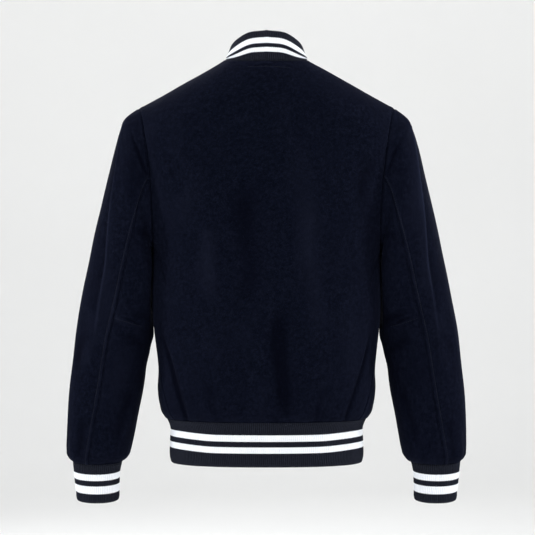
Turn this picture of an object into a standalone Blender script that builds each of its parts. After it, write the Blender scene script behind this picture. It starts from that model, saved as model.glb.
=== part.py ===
"""Varsity jacket, filled out and hollow, as it hangs on a wearer who isn't there.

Wool body and two-piece sleeves, with a knitted collar, hem band and cuffs, closed in front by snaps.
Metres, +Z up. The front faces -Y and the wearer's left is +X. The origin is the middle of the neck,
level with the upper ends of the shoulder seams. Tables are in millimetres and degrees.
"""

import math

import bmesh
import bpy
import numpy as np

MM = 0.001

# Cloth
WOOL_WALL = 2.2 * MM
RIB_WALL = 3.6 * MM
SEAM_GAP = 0.3 * MM  # each piece ends this far from the seam line
LAP_GAP = 0.6 * MM  # between the two fronts where they lap
EDGE_STRIP = 0.006  # a narrow strip runs along each side seam, this share of its piece
ARMHOLE_STRIP = 0.05  # and a wider one along the armhole
SLEEVE_STRIP = 0.02  # and along the sleeve's seams
HEM_STRIP = 0.02  # level of the narrow strip's upper edge at the hem
TOP_STRIP = 1.97  # level of the narrow strip's lower edge at the neck and shoulder
NECK_TURNS = (22.5, 45, 67.5, 80, 90)  # points of the neckline, by angle from its centre
ARMHOLE_STEPS = 8  # rows of points up each armhole, shared by the panels and the sleeve

# Levels of the body
HEM_SEAM = -598 * MM  # body meets the knitted hem band
HEM_BOTTOM = -670 * MM
UNDERARM = -325 * MM

# Neck and shoulders
NECK_HALF = 66 * MM  # half the neck's width, where the shoulder seams start
NECK_SIDE = -4 * MM
NECK_LOW = {"back": -12 * MM, "front": -82 * MM}  # height of the neckline at the centre
NECK_CURVE = {"back": 1.0, "front": 1.25}
NECK_SHARE = 0.4  # this share of a panel's top edge is neckline, the rest is shoulder
NECK_SPREAD = 40 * MM  # rows of points widen by this below the neckline
SHOULDER_TIP = 212 * MM
SHOULDER_FALL = 0.56  # slope of the shoulder
SHOULDER_ROUND = 75 * MM  # height over which the body rounds into the shoulder
SHOULDER_SEAM_Y = -5 * MM
FULLNESS = 2.4  # exponent of the body's section: 2 is an ellipse, more is squarer
ARMHOLE_SCOOP = {"back": 11 * MM, "front": 14 * MM}

# Front closing
LAP = 16 * MM  # each front goes this far past the centre
LAP_SETTLE = 14 * MM  # the under front comes back level over this width
LAP_COLUMNS = (18 * MM, 34 * MM)  # rows of points beside the lap
COLLAR_GAP = 1.5 * MM  # half the gap between the collar's ends
BODY_CLEARANCE = 4 * MM  # between a sleeve and the body it hangs against
PUSH_ROUND = 3 * MM  # how softly the sleeve flattens there
PUSH_START = 20 * MM  # the clearance is reached this far down the sleeve
PUSH_TOP = -200 * MM  # above this the sleeve stands free
PUSH_FADE = 60 * MM

# Snaps
SNAP_RADIUS = 7.5 * MM
SNAP_HEIGHT = 2.6 * MM
SNAP_GAP = 0.4 * MM  # between a cap and the cloth under it
SNAP_LEVELS = (-104, -203, -302, -401, -500, -578, -634)


def table(names, *rows):
    """Named columns, as arrays."""
    return dict(zip(names.split(), np.array(rows, float).T))


# The body at each level: half its width, and how far it comes out behind and in front.
BODY = table(
    "z half_width back front",
    (-598, 165, 117.5, 121),
    (-589, 172.5, 122, 127.5),
    (-574, 177, 125.5, 132),
    (-550, 180, 127, 134),
    (-518, 179.3, 126.5, 134),
    (-480, 183, 126, 133.5),
    (-430, 188, 126, 133.5),
    (-380, 190, 127.5, 135),
    (-325, 190, 130, 137),
    (-290, 196, 130.5, 136.5),
    (-245, 207, 129, 132.5),
    (-200, 214, 125.5, 126),
    (-150, 222, 117.5, 114),
    (-100, 228, 106, 96),
    (-60, 232, 93, 79),
    (-30, 234, 81.5, 66),
    (-10, 235, 73, 57),
    (40, 236, 55, 40),
)

# Where the side seam runs, as the angle from the centre back.
SIDE_SEAM = table(
    "z angle",
    (-598, 63),
    (-560, 67.5),
    (-518, 76),
    (-450, 85),
    (-380, 89),
    (-325, 90),
)

# The sleeve's rings, by distance down the outside of the arm: the outer and the inner point of each,
# the depth behind and in front of its middle, and how far its plane leans.
SLEEVE = table(
    "reach out_x out_z in_x in_z mid_y back front lean",
    (0, 212, -85.8, 190, -325, -3, 74, 76, 0),
    (14, 224, -92.8, 192, -328, -2, 76, 78, 0),
    (30, 236.5, -103.5, 190, -331, -2, 77.5, 79, 0),
    (50, 243.7, -122, 186, -337, -2, 79, 79, 0),
    (80, 250.9, -147, 181, -346, -2, 80, 79, 0),
    (130, 262.9, -196, 177, -364, -3, 79, 77, 0),
    (182, 274.3, -246, 175, -384, -4, 76, 73, 0),
    (233, 286.3, -296, 175, -406, -6, 72, 69, 0),
    (285, 296.7, -346, 178, -428, -8, 67, 65, 1),
    (335, 307.1, -396, 184, -450, -11, 62.5, 61, 2),
    (386, 316.3, -446, 194, -478, -14, 59, 58, 3),
    (436, 322.7, -496, 200.3, -512, -17, 56, 55, 4),
    (487, 329.2, -546, 205.6, -549, -21, 53, 52, 5),
    (540, 333, -599, 214.8, -596, -26, 50, 49, 6),
    (570, 334.5, -629, 220.5, -626, -29, 48, 47, 6),
    (594, 334.8, -653, 226.2, -652, -31, 46, 45.5, 6),
    (604, 333.8, -662.5, 229.2, -661.5, -32, 43, 43, 7),
    (610.5, 330, -667.8, 234, -667.5, -33, 38.5, 38.5, 7.5),
    (615, 326.6, -671.3, 239.6, -671.3, -34, 33.8, 33.8, 8),
)
SLEEVE_ROWS = (0, 6, 17, 34, 62, 105, 160, 215, 270, 325, 380, 440, 500, 560, 592, 604, 611, 615)
SLEEVE_SETTLE = 120 * MM  # the armhole's own shape is gone this far down

# Where the sleeve's two seams run, as angles round it: 0 is outside, 90 behind, -90 in front.
SLEEVE_SEAMS = table(
    "reach behind before",
    (0, 90, -112.5),
    (30, 99, -112.5),
    (60, 99, -112.5),
    (100, 97, -112.5),
    (150, 93, -112.5),
    (205, 90, -112.5),
    (310, 87.5, -112.5),
    (410, 87, -111),
    (520, 83, -109),
    (615, 75, -106),
)

CUFF = table(
    "down out_x in_x mid_y depth",
    (0, 324.7, 241.6, -34, 32.6),
    (13, 323.4, 245, -35.5, 32),
    (33, 321.8, 246.9, -38, 31),
    (56, 319.2, 247.6, -40.5, 30),
    (65, 318.4, 248.3, -41.5, 29.5),
    (67, 316.9, 249.8, -41.7, 28),
)
CUFF_TOP = -671.3 * MM
CUFF_LEAN = 8

HEM_BAND = table(
    "z half_width back front",
    (-670, 157.5, 112, 115),
    (-665, 159, 113.5, 116.5),
    (-634, 159.6, 114, 117),
    (-607, 160.4, 114.3, 117.5),
    (-598, 165, 117.5, 121),
)

# The collar's upper edge, by the angle round the neck from the centre back.
COLLAR_TOP = table(
    "angle x y z",
    (0, 0, 48, 40),
    (30, 31.5, 38, 36.5),
    (50, 48, 16, 29.5),
    (70, 58.5, -13, 21.5),
    (90, 62, -39, 9.5),
    (120, 51, -74, -12),
    (150, 28, -95, -37),
    (180, 0, -101, -54),
)
COLLAR_SWELL = 3.5 * MM  # the band bows out between its edges

# The largest folds: start and end on the surface, the half width and the depth, troughs below zero.
BACK_FOLDS = table(
    "x0 z0 x1 z1 width depth",
    (172, -455, 131, -594, 13, -4.5),
    (-172, -455, -131, -594, 13, -4.5),
    (-22, -430, -32, -600, 26, -3.5),
)
SLEEVE_FOLDS = table(
    "angle0 reach0 angle1 reach1 width depth",
    (22, 30, 30, 330, 12, 3.0),
    (150, 300, 60, 372, 16, -2.5),
    (-150, 330, -60, 392, 16, -4.0),
)


def smooth(keys, values, at):
    """A smooth curve through values at keys, read at the places asked for."""
    slopes = np.gradient(values, keys)
    at = np.clip(at, keys[0], keys[-1])
    i = np.clip(np.searchsorted(keys, at, side="right") - 1, 0, len(keys) - 2)
    step = keys[i + 1] - keys[i]
    t = (at - keys[i]) / step
    rise = values[i + 1] - values[i]
    bend_in = slopes[i] * step - rise
    bend_out = rise - slopes[i + 1] * step
    return values[i] + rise * t + t * (1 - t) * (bend_in * (1 - t) + bend_out * t)


def read(of, key, column, at):
    """A column of a table in millimetres, read at places in metres, in metres."""
    return smooth(of[key], of[column], np.asarray(at) / MM) * MM


def blend(a, b, share):
    return a + (b - a) * share


def eased(share):
    share = np.clip(share, 0, 1)
    return share * share * (3 - 2 * share)


# ---------------------------------------------------------------- the body's form


def shoulder_line(x):
    """Height of the shoulder seam at a distance from the centre."""
    return NECK_SIDE - SHOULDER_FALL * (np.abs(x) - NECK_HALF)


def body_point(angle, z):
    """The body's surface at an angle from the centre back, and a height."""
    x = read(BODY, "z", "half_width", z) * np.sin(angle)
    behind = np.cos(angle) >= 0
    reach = np.where(behind, read(BODY, "z", "back", z), -read(BODY, "z", "front", z))
    bulge = np.clip(1 - np.abs(np.sin(angle)) ** FULLNESS, 0, 1) ** (1 / FULLNESS)
    risen = np.clip((z - shoulder_line(x)) / SHOULDER_ROUND + 1, 0, 1)
    left = np.sqrt(1 - risen**2)
    y = reach * bulge * left + SHOULDER_SEAM_Y * (1 - left)
    return np.stack([x, y, z], axis=-1)


def armhole(side, rise):
    """Angle and height of the armhole's edge, from the underarm (rise 0) to the shoulder tip (rise 1)."""
    share = (1 - np.cos(np.pi * rise)) / 2
    x = blend(read(BODY, "z", "half_width", UNDERARM), SHOULDER_TIP, share)
    x = x - ARMHOLE_SCOOP[side] * np.sin(np.pi * rise)
    z = blend(UNDERARM, shoulder_line(SHOULDER_TIP), share)
    return np.arcsin(np.clip(x / read(BODY, "z", "half_width", z), -1, 1)), z


def neckline(side, turn, half=NECK_HALF, drop=0.0):
    """Half width and height of the neck's edge; turn is 0 at the centre and a right angle at the side."""
    fall = np.abs(np.cos(turn)) ** NECK_CURVE[side]
    return half * np.sin(turn), blend(shoulder_line(half), NECK_LOW[side], fall) - drop


def top_edge(side, across, half, end_x, drop, end_drop):
    """Half width and height of a row shaped like a panel's top edge, the neckline then the shoulder."""
    turn = np.clip(across / NECK_SHARE, 0, 1) * np.pi / 2
    neck_x, neck_z = neckline(side, turn, half, drop)
    share = np.clip((across - NECK_SHARE) / (1 - NECK_SHARE), 0, 1)
    out = blend(half, end_x, share)
    out_z = shoulder_line(out) - blend(drop, end_drop, share)
    on_neck = across < NECK_SHARE
    return np.where(on_neck, neck_x, out), np.where(on_neck, neck_z, out_z)


def panel_place(side, across, level):
    """Angle from the panel's own centre, and height.

    across runs from the centre (0) to the side seam or armhole (1); a front also goes past its centre.
    level runs from the hem seam (0) to the underarm (1) to the top edge (2).
    """
    mirror = np.sign(across) + (across == 0)
    across = np.abs(across)
    low_z = blend(HEM_SEAM, UNDERARM, np.clip(level, 0, 1))
    seam = np.radians(smooth(SIDE_SEAM["z"], SIDE_SEAM["angle"], low_z / MM))
    low_end = seam if side == "back" else np.pi - seam
    rise = np.clip(level - 1, 0, 1)
    share = (1 - np.cos(np.pi * rise)) / 2
    drop = (1 - share) * (NECK_LOW[side] - UNDERARM)
    end, end_z = armhole(side, rise)
    end_x = read(BODY, "z", "half_width", end_z) * np.sin(end)
    half = NECK_HALF + NECK_SPREAD * np.sqrt(1 - share)
    top_x, top_z = top_edge(side, across, half, end_x, drop, shoulder_line(end_x) - end_z)
    top = np.arcsin(top_x / read(BODY, "z", "half_width", top_z))
    pull = share**2
    angle = blend(across * end, top, pull)
    z = blend(blend(NECK_LOW[side] - drop, end_z, across**2), top_z, pull)
    lower = level <= 1
    return mirror * np.where(lower, across * low_end, angle), np.where(lower, low_z, z)


def panel_point(side, across, level):
    angle, z = panel_place(side, across, level)
    return body_point(angle if side == "back" else np.pi - angle, z)


def across_at(side, x, level):
    """Where a panel's row passes a distance x from its centre."""
    fine = np.linspace(0, NECK_SHARE, 60)
    return np.interp(x, panel_point(side, fine, np.full(60, level))[:, 0], fine)


# ---------------------------------------------------------------- the sleeve's form


def sleeve_ring(angle, reach):
    """The sleeve's rings alone, before they meet the armhole and the body."""
    row = {name: read(SLEEVE, "reach", name, reach) for name in SLEEVE if name != "lean"}
    lean = np.radians(smooth(SLEEVE["reach"], SLEEVE["lean"], reach / MM))
    behind = np.sin(angle) >= 0
    depth = np.where(behind, row["back"], row["front"]) * np.sin(angle)
    x = blend(row["in_x"], row["out_x"], (1 + np.cos(angle)) / 2)
    z = blend(row["in_z"], row["out_z"], (1 + np.cos(angle)) / 2)
    return np.stack([x, row["mid_y"] + depth * np.cos(lean), z - depth * np.sin(lean)], axis=-1)


def armhole_point(angle):
    """The armhole's edge at an angle round the sleeve."""
    rise = 1 - np.abs(angle) / np.pi
    back_angle, back_z = armhole("back", rise)
    front_angle, front_z = armhole("front", rise)
    behind = np.sin(angle) >= 0
    place = np.where(behind, back_angle, np.pi - front_angle)
    return body_point(place, np.where(behind, back_z, front_z))


def body_edge(y, z):
    """The body's half width at a depth and height below the underarm."""
    reach = np.where(y > 0, read(BODY, "z", "back", z), read(BODY, "z", "front", z))
    share = np.clip(np.abs(y) / reach, 0, 1)
    return read(BODY, "z", "half_width", z) * (1 - share**FULLNESS) ** (1 / FULLNESS)


def sleeve_point(angle, reach):
    """The left sleeve's surface at an angle round it and a distance down the outside of the arm."""
    angle = (angle + np.pi) % (2 * np.pi) - np.pi
    angle, reach = np.broadcast_arrays(angle, reach)
    point = sleeve_ring(angle, reach)
    hold = np.clip(1 - reach / SLEEVE_SETTLE, 0, 1) ** 2
    start = armhole_point(angle) - sleeve_ring(angle, np.zeros_like(reach))
    point = point + hold[..., None] * start
    x, y, z = point[..., 0], point[..., 1], point[..., 2]
    limit = body_edge(y, z) + BODY_CLEARANCE
    over = x - limit
    pushed = limit + (over + np.sqrt(over**2 + PUSH_ROUND**2)) / 2
    beside = eased(reach / PUSH_START) * eased((PUSH_TOP - z) / PUSH_FADE)
    point[..., 0] = blend(x, pushed, beside)
    return point


def sleeve_seam(which, reach):
    return np.radians(smooth(SLEEVE_SEAMS["reach"], SLEEVE_SEAMS[which], reach / MM))


# ---------------------------------------------------------------- folds and grids


def normals_of(grid):
    """Unit normals of a grid of points, pointing left of its rows' direction."""
    along = np.gradient(grid, axis=1)
    up = np.gradient(grid, axis=0)
    normal = np.cross(along, up)
    return normal / np.maximum(np.linalg.norm(normal, axis=-1, keepdims=True), 1e-12)


def fold(grid, outward, start, end, width, depth):
    """Moves a grid's points along its normals, most on the line from start to end."""
    line = end - start
    share = np.clip((grid - start) @ line / (line @ line), 0, 1)
    away = np.linalg.norm(grid - start - share[..., None] * line, axis=-1)
    height = depth * np.exp(-((away / width) ** 2)) * np.sin(np.pi * blend(0.12, 0.88, share))
    return grid + outward * height[..., None]


def inset(grid, sides, gap=SEAM_GAP):
    """Draws a grid's outer rows or columns in, so that they end a gap away from the seam."""
    grid = grid.copy()
    for side in sides:
        edge, inner = {
            "bottom": (np.s_[0], np.s_[1]),
            "top": (np.s_[-1], np.s_[-2]),
            "first": (np.s_[:, 0], np.s_[:, 1]),
            "last": (np.s_[:, -1], np.s_[:, -2]),
        }[side]
        way = grid[inner] - grid[edge]
        seam = np.gradient(grid[edge], axis=0)
        seam /= np.linalg.norm(seam, axis=-1, keepdims=True)
        across = way - (way * seam).sum(axis=-1, keepdims=True) * seam
        grid[edge] += way * gap / np.linalg.norm(across, axis=-1, keepdims=True)
    return grid


def mirrored(grid):
    """The same piece for the other side, its rows turned round so that its normals still point out."""
    return (grid * (-1, 1, 1))[:, ::-1]


# ---------------------------------------------------------------- solids


def finish_of(name, colour, roughness, metallic=0.0):
    """A material with the colour, roughness and metallic value given."""
    material = bpy.data.materials.new(name)
    material.use_nodes = True
    shader = material.node_tree.nodes["Principled BSDF"]
    shader.inputs["Base Color"].default_value = (*colour, 1)
    shader.inputs["Roughness"].default_value = roughness
    shader.inputs["Metallic"].default_value = metallic
    return material


def cloth(name, grid, wall, material, group, closed=False):
    """A sewn piece: the surface through a grid of points, thickened inwards."""
    rows, columns = grid.shape[:2]
    reach = columns if closed else columns - 1
    faces = []
    for i in range(rows - 1):
        for j in range(reach):
            k = (j + 1) % columns
            faces.append((i * columns + j, i * columns + k, (i + 1) * columns + k, (i + 1) * columns + j))
    mesh = bpy.data.meshes.new(name)
    mesh.from_pydata(grid.reshape(-1, 3).tolist(), [], faces)
    mesh.materials.append(material)
    mesh.shade_smooth()
    piece = bpy.data.objects.new(name, mesh)
    group.objects.link(piece)
    thicken = piece.modifiers.new("Wall", "SOLIDIFY")
    thicken.thickness = wall
    thicken.offset = -1
    return piece


def with_edges(places, strip=EDGE_STRIP):
    """Adds a place close to each end, so that the wall there stands square to the seam."""
    first, last = places[0], places[-1]
    near = (last - first) * strip
    return np.concatenate([[first, first + near], places[1:-1], [last - near, last]])


def neck_columns(turns):
    """Places across a panel below points of the neckline, given as angles from its centre."""
    return NECK_SHARE * np.array(turns) / 90


def shoulder_columns(level):
    """Places across a panel from the end of the neckline to the side seam or armhole."""
    strip = EDGE_STRIP if level < 0.99 else ARMHOLE_STRIP
    return np.insert(np.linspace(NECK_SHARE, 1, 7)[1:], -1, 1 - strip)


def levels(low_steps):
    """Panel levels from the hem seam to the top edge, closer near both."""
    low = (np.linspace(0, 1, low_steps + 1)) ** 1.35
    high = 1 + np.linspace(0, 1, ARMHOLE_STEPS + 1)
    return np.concatenate([[0, HEM_STRIP], low[1:], high[1:-1], [TOP_STRIP, 2]])


def make_back(material, group):
    level = levels(7)
    rows = []
    for one in level:
        half = np.concatenate([neck_columns(NECK_TURNS), shoulder_columns(one)])
        rows.append(np.concatenate([half[::-1], [0], -half]))
    across = np.array(rows)
    grid = panel_point("back", across, np.repeat(level[:, None], across.shape[1], axis=1))
    outward = normals_of(grid)
    for x0, z0, x1, z1, width, depth in zip(*BACK_FOLDS.values()):
        start = body_point(*back_place(x0 * MM, z0 * MM))
        end = body_point(*back_place(x1 * MM, z1 * MM))
        grid = fold(grid, outward, start, end, width * MM, depth * MM)
    grid = inset(grid, ("bottom", "top", "first", "last"))
    return cloth("back", grid, WOOL_WALL, material, group)


def back_place(x, z):
    """Angle and height of the point of the back at a distance from its centre."""
    return np.arcsin(x / read(BODY, "z", "half_width", z)), np.asarray(z)


def front_grid(level):
    """The left front, from its closing edge past the centre to the side seam and armhole."""
    rows = []
    for one in level:
        near = [across_at("front", x, one) for x in LAP_COLUMNS]
        to_neck = neck_columns(NECK_TURNS[1:])
        closing = -across_at("front", LAP, one)
        rows.append(np.concatenate([[closing, 0], near, to_neck, shoulder_columns(one)]))
    return panel_point("front", np.array(rows), np.repeat(level[:, None], len(rows[0]), axis=1))


def lapped(grid):
    """A front tucked under the other: set in by a wall and a gap where they lap."""
    drop = (WOOL_WALL + LAP_GAP) * eased((LAP + LAP_SETTLE + 2 * MM - grid[..., 0]) / LAP_SETTLE)
    return grid - normals_of(grid) * drop[..., None]


def make_fronts(material, group):
    grid = front_grid(levels(7))
    sides = ("bottom", "top", "last")
    cloth("front_left", inset(grid, sides), WOOL_WALL, material, group)
    cloth("front_right", mirrored(inset(lapped(grid), sides)), WOOL_WALL, material, group)


def armhole_angles(first, last):
    """Angles round the armhole from one seam to the other, where the panels have their points."""
    step = 2 * np.pi / (2 * ARMHOLE_STEPS)
    near_tip = np.pi * (2 - TOP_STRIP)
    inner = np.arange(round(first / step) + 1, round(last / step)) * step
    if first < 0 < last:
        inner = np.sort(np.append(inner, [near_tip, -near_tip]))
    return with_edges(np.concatenate([[first], inner, [last]]), SLEEVE_STRIP)


def sleeve_grid(first, last, reach):
    """A sleeve piece between two angles, which may change down the arm."""
    share = ((armhole_angles(first[0], last[0]) - first[0]) / (last[0] - first[0]))[None]
    angle = blend(first[:, None], last[:, None], share)
    grid = sleeve_point(angle, np.repeat(reach[:, None], angle.shape[1], axis=1))
    grid = grid[::-1]
    outward = normals_of(grid)
    for angle0, reach0, angle1, reach1, width, depth in zip(*SLEEVE_FOLDS.values()):
        start = sleeve_point(np.radians(angle0), np.array(reach0 * MM))
        end = sleeve_point(np.radians(angle1), np.array(reach1 * MM))
        grid = fold(grid, outward, start, end, width * MM, depth * MM)
    return inset(grid, ("bottom", "top", "first", "last"))


def make_sleeves(material, group):
    reach = np.array(SLEEVE_ROWS) * MM
    behind = sleeve_seam("behind", reach)
    before = sleeve_seam("before", reach)
    top = sleeve_grid(before, behind, reach)
    under = sleeve_grid(behind, before + 2 * np.pi, reach)
    for name, grid in (("top_sleeve", top), ("under_sleeve", under)):
        cloth(name + "_left", grid, WOOL_WALL, material, group)
        cloth(name + "_right", mirrored(grid), WOOL_WALL, material, group)


def make_cuffs(material, group):
    around = np.linspace(0, 2 * np.pi, 19)[:-1][None]
    down = CUFF["down"][:, None] * MM
    row = {name: read(CUFF, "down", name, down) for name in CUFF if name != "down"}
    lean = math.radians(CUFF_LEAN)
    depth = row["depth"] * np.sin(around)
    x = blend(row["in_x"], row["out_x"], (1 + np.cos(around)) / 2)
    y = row["mid_y"] + depth * math.cos(lean)
    z = CUFF_TOP - 2 * SEAM_GAP - down - depth * math.sin(lean) + 0 * around
    grid = np.stack([x, y, z], axis=-1)[::-1]
    cloth("cuff_left", grid, RIB_WALL, material, group, closed=True)
    cloth("cuff_right", mirrored(grid), RIB_WALL, material, group, closed=True)


def hem_point(angle, z):
    """The knitted hem band, at an angle from the centre back."""
    behind = np.cos(angle) >= 0
    reach = np.where(behind, read(HEM_BAND, "z", "back", z), -read(HEM_BAND, "z", "front", z))
    bulge = np.clip(1 - np.abs(np.sin(angle)) ** FULLNESS, 0, 1) ** (1 / FULLNESS)
    x = read(HEM_BAND, "z", "half_width", z) * np.sin(angle)
    return np.stack([x, reach * bulge, z], axis=-1)


def make_hem_band(material, group):
    edge = math.asin(LAP / (HEM_BAND["half_width"][0] * MM))
    settled = math.asin((LAP + LAP_SETTLE + 2 * MM) / (HEM_BAND["half_width"][0] * MM))
    level_out = math.asin((LAP + 2 * MM) / (HEM_BAND["half_width"][0] * MM))
    around = np.concatenate(
        [[np.pi + edge, np.pi, np.pi - edge], np.linspace(np.pi - settled, settled - np.pi, 34)]
        + [[level_out - np.pi, -np.pi, -np.pi - edge]]
    )
    z = HEM_BAND["z"] * MM
    grid = hem_point(*np.broadcast_arrays(around[None], z[:, None]))
    grid[0, :, 2] = HEM_BOTTOM
    under = (around < 0)[None] & (grid[..., 0] > -LAP - LAP_SETTLE - 2 * MM) & (grid[..., 1] < 0)
    toward = eased((grid[..., 0] + LAP + LAP_SETTLE + 2 * MM) / LAP_SETTLE)
    grid[..., 1] += np.where(under, (RIB_WALL + LAP_GAP) * toward, 0)
    grid[-1, :, 2] -= 2 * SEAM_GAP
    return cloth("hem_band", grid, RIB_WALL, material, group)


def collar_grid():
    """The collar from the neckline to its upper edge, from the left end round the back to the right end."""
    behind = np.radians((0, *NECK_TURNS))
    beside_lap = np.arcsin(np.array(LAP_COLUMNS) / NECK_HALF)
    half = np.concatenate([behind, np.pi - behind[-2:1:-1], np.pi - beside_lap[::-1], [np.pi]])
    turn = half[:, None]
    foot_x, foot_z = np.where(
        turn <= np.pi / 2, neckline("back", turn), neckline("front", np.pi - turn)
    )
    angle = np.arcsin(foot_x / read(BODY, "z", "half_width", foot_z))
    foot = body_point(np.where(turn <= np.pi / 2, angle, np.pi - angle), foot_z)[:, 0]
    keys = COLLAR_TOP["angle"]
    head = np.stack([smooth(keys, COLLAR_TOP[c], np.degrees(half)) * MM for c in "xyz"], axis=-1)
    up = np.linspace(0, 1, 5)[:, None, None]
    grid = blend(foot[None], head[None], up)
    outward = -normals_of(grid)
    grid = grid + outward * COLLAR_SWELL * np.sin(np.pi * up)
    grid = grid[:, ::-1]
    grid[:, 0, 0] = COLLAR_GAP
    return np.concatenate([grid, (grid * (-1, 1, 1))[:, ::-1][:, 1:]], axis=1)


def make_collar(material, group):
    grid = inset(collar_grid(), ("bottom",), 2 * SEAM_GAP)
    return cloth("collar", grid, RIB_WALL, material, group)


def make_snaps(material, group):
    """Domed caps, each turned from a profile and set on the left front along its normal."""
    steps = 3
    profile = [(0.0, SNAP_HEIGHT)]
    for step in range(1, steps + 1):
        bend = step / steps * math.pi / 2
        profile.append((SNAP_RADIUS * math.sin(bend), 0.8 * MM + (SNAP_HEIGHT - 0.8 * MM) * math.cos(bend)))
    profile += [(SNAP_RADIUS, 0.0), (0.0, 0.0)]
    for number, level in enumerate(SNAP_LEVELS, start=1):
        z = level * MM
        on_band = z < HEM_SEAM
        place = hem_point if on_band else body_point
        here = place(np.array(np.pi), np.array(z))
        rise = SNAP_RADIUS * np.array((-1, 1))
        tilt = np.diff(place(np.full(2, np.pi), z + rise), axis=0)[0]
        mesh = bpy.data.meshes.new(f"snap_{number}")
        ring = bmesh.new()
        points = [ring.verts.new((radius, 0, height)) for radius, height in profile]
        for a, b in zip(points, points[1:]):
            ring.edges.new((a, b))
        ring.to_mesh(mesh)
        ring.free()
        mesh.materials.append(material)
        snap = bpy.data.objects.new(f"snap_{number}", mesh)
        group.objects.link(snap)
        turn = snap.modifiers.new("Turned", "SCREW")
        turn.steps = turn.render_steps = 12
        turn.use_merge_vertices = True
        turn.merge_threshold = 0.00002
        snap.rotation_euler = (math.pi / 2 - math.atan2(tilt[1], tilt[2]), 0, 0)
        snap.location = (0, float(here[1]) - SNAP_GAP, z)


def main():
    for thing in list(bpy.data.objects):
        bpy.data.objects.remove(thing)
    group = bpy.data.collections.new("varsity_jacket")
    bpy.context.scene.collection.children.link(group)
    wool = finish_of("navy_wool", (0.006, 0.008, 0.02), 0.95)
    rib = finish_of("navy_rib", (0.009, 0.012, 0.026), 0.9)
    cap = finish_of("snap_cap", (0.8, 0.8, 0.8), 0.3)
    make_back(wool, group)
    make_fronts(wool, group)
    make_sleeves(wool, group)
    make_cuffs(rib, group)
    make_hem_band(rib, group)
    make_collar(rib, group)
    make_snaps(cap, group)


main()
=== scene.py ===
"""The varsity jacket's looks: wool panels with seams, stitches and folds, knitted bands and snaps.

The form repeats the solids' own functions and tables, read at a finer pitch. Metres, +Z up. The front
faces -Y and the wearer's left is +X. Tables are in millimetres and degrees.
"""

import math

import bmesh
import bpy
import numpy as np
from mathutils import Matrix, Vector
from mathutils.kdtree import KDTree


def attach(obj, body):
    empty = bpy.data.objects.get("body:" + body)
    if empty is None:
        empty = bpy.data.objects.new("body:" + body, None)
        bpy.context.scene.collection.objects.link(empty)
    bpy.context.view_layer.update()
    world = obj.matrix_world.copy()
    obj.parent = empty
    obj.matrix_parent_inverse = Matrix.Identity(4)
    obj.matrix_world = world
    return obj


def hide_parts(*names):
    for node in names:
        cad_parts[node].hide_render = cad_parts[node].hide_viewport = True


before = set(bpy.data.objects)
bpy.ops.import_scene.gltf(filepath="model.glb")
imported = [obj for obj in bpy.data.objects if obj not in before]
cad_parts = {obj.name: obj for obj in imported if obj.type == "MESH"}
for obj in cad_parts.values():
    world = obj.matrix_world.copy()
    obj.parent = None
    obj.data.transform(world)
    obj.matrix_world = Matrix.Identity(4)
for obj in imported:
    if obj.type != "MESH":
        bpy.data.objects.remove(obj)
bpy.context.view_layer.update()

MM = 0.001

# Cloth
WOOL_WALL = 2.2 * MM
RIB_WALL = 3.6 * MM
SEAM_GAP = 0.1 * MM  # each piece ends this far from the seam line
LAP_GAP = 0.6 * MM  # between the two fronts where they lap

# Levels of the body
HEM_SEAM = -598 * MM  # body meets the knitted hem band
HEM_BOTTOM = -670 * MM
UNDERARM = -325 * MM

# Neck and shoulders
NECK_HALF = 66 * MM  # half the neck's width, where the shoulder seams start
NECK_SIDE = -4 * MM
NECK_LOW = {"back": -12 * MM, "front": -82 * MM}  # height of the neckline at the centre
NECK_CURVE = {"back": 1.0, "front": 1.25}
NECK_SHARE = 0.4  # this share of a panel's top edge is neckline, the rest is shoulder
NECK_SPREAD = 40 * MM  # rows of points widen by this below the neckline
SHOULDER_TIP = 212 * MM
SHOULDER_FALL = 0.56  # slope of the shoulder
SHOULDER_ROUND = 75 * MM  # height over which the body rounds into the shoulder
SHOULDER_SEAM_Y = -5 * MM
FULLNESS = 2.4  # exponent of the body's section: 2 is an ellipse, more is squarer
ARMHOLE_SCOOP = {"back": 11 * MM, "front": 14 * MM}

# Front closing
LAP = 16 * MM  # each front goes this far past the centre
LAP_SETTLE = 14 * MM  # the under front comes back level over this width
COLLAR_GAP = 1.5 * MM  # half the gap between the collar's ends
BODY_CLEARANCE = 4 * MM  # between a sleeve and the body it hangs against
PUSH_ROUND = 3 * MM  # how softly the sleeve flattens there
PUSH_START = 20 * MM  # the clearance is reached this far down the sleeve
PUSH_TOP = -200 * MM  # above this the sleeve stands free
PUSH_FADE = 60 * MM

# Snaps
SNAP_RADIUS = 7.5 * MM
SNAP_HEIGHT = 2.6 * MM
SNAP_GAP = 0.4 * MM  # between a cap and the cloth under it
SNAP_LEVELS = (-104, -203, -302, -401, -500, -578, -634)


def table(names, *rows):
    """Named columns, as arrays."""
    return dict(zip(names.split(), np.array(rows, float).T))


# The body at each level: half its width, and how far it comes out behind and in front.
BODY = table(
    "z half_width back front",
    (-598, 165, 117.5, 121),
    (-589, 172.5, 122, 127.5),
    (-574, 177, 125.5, 132),
    (-550, 180, 127, 134),
    (-518, 179.3, 126.5, 134),
    (-480, 183, 126, 133.5),
    (-430, 188, 126, 133.5),
    (-380, 190, 127.5, 135),
    (-325, 190, 130, 137),
    (-290, 196, 130.5, 136.5),
    (-245, 207, 129, 132.5),
    (-200, 214, 125.5, 126),
    (-150, 222, 117.5, 114),
    (-100, 228, 106, 96),
    (-60, 232, 93, 79),
    (-30, 234, 81.5, 66),
    (-10, 235, 73, 57),
    (40, 236, 55, 40),
)

# Where the side seam runs, as the angle from the centre back.
SIDE_SEAM = table(
    "z angle",
    (-598, 63),
    (-560, 67.5),
    (-518, 76),
    (-450, 85),
    (-380, 89),
    (-325, 90),
)

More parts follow.
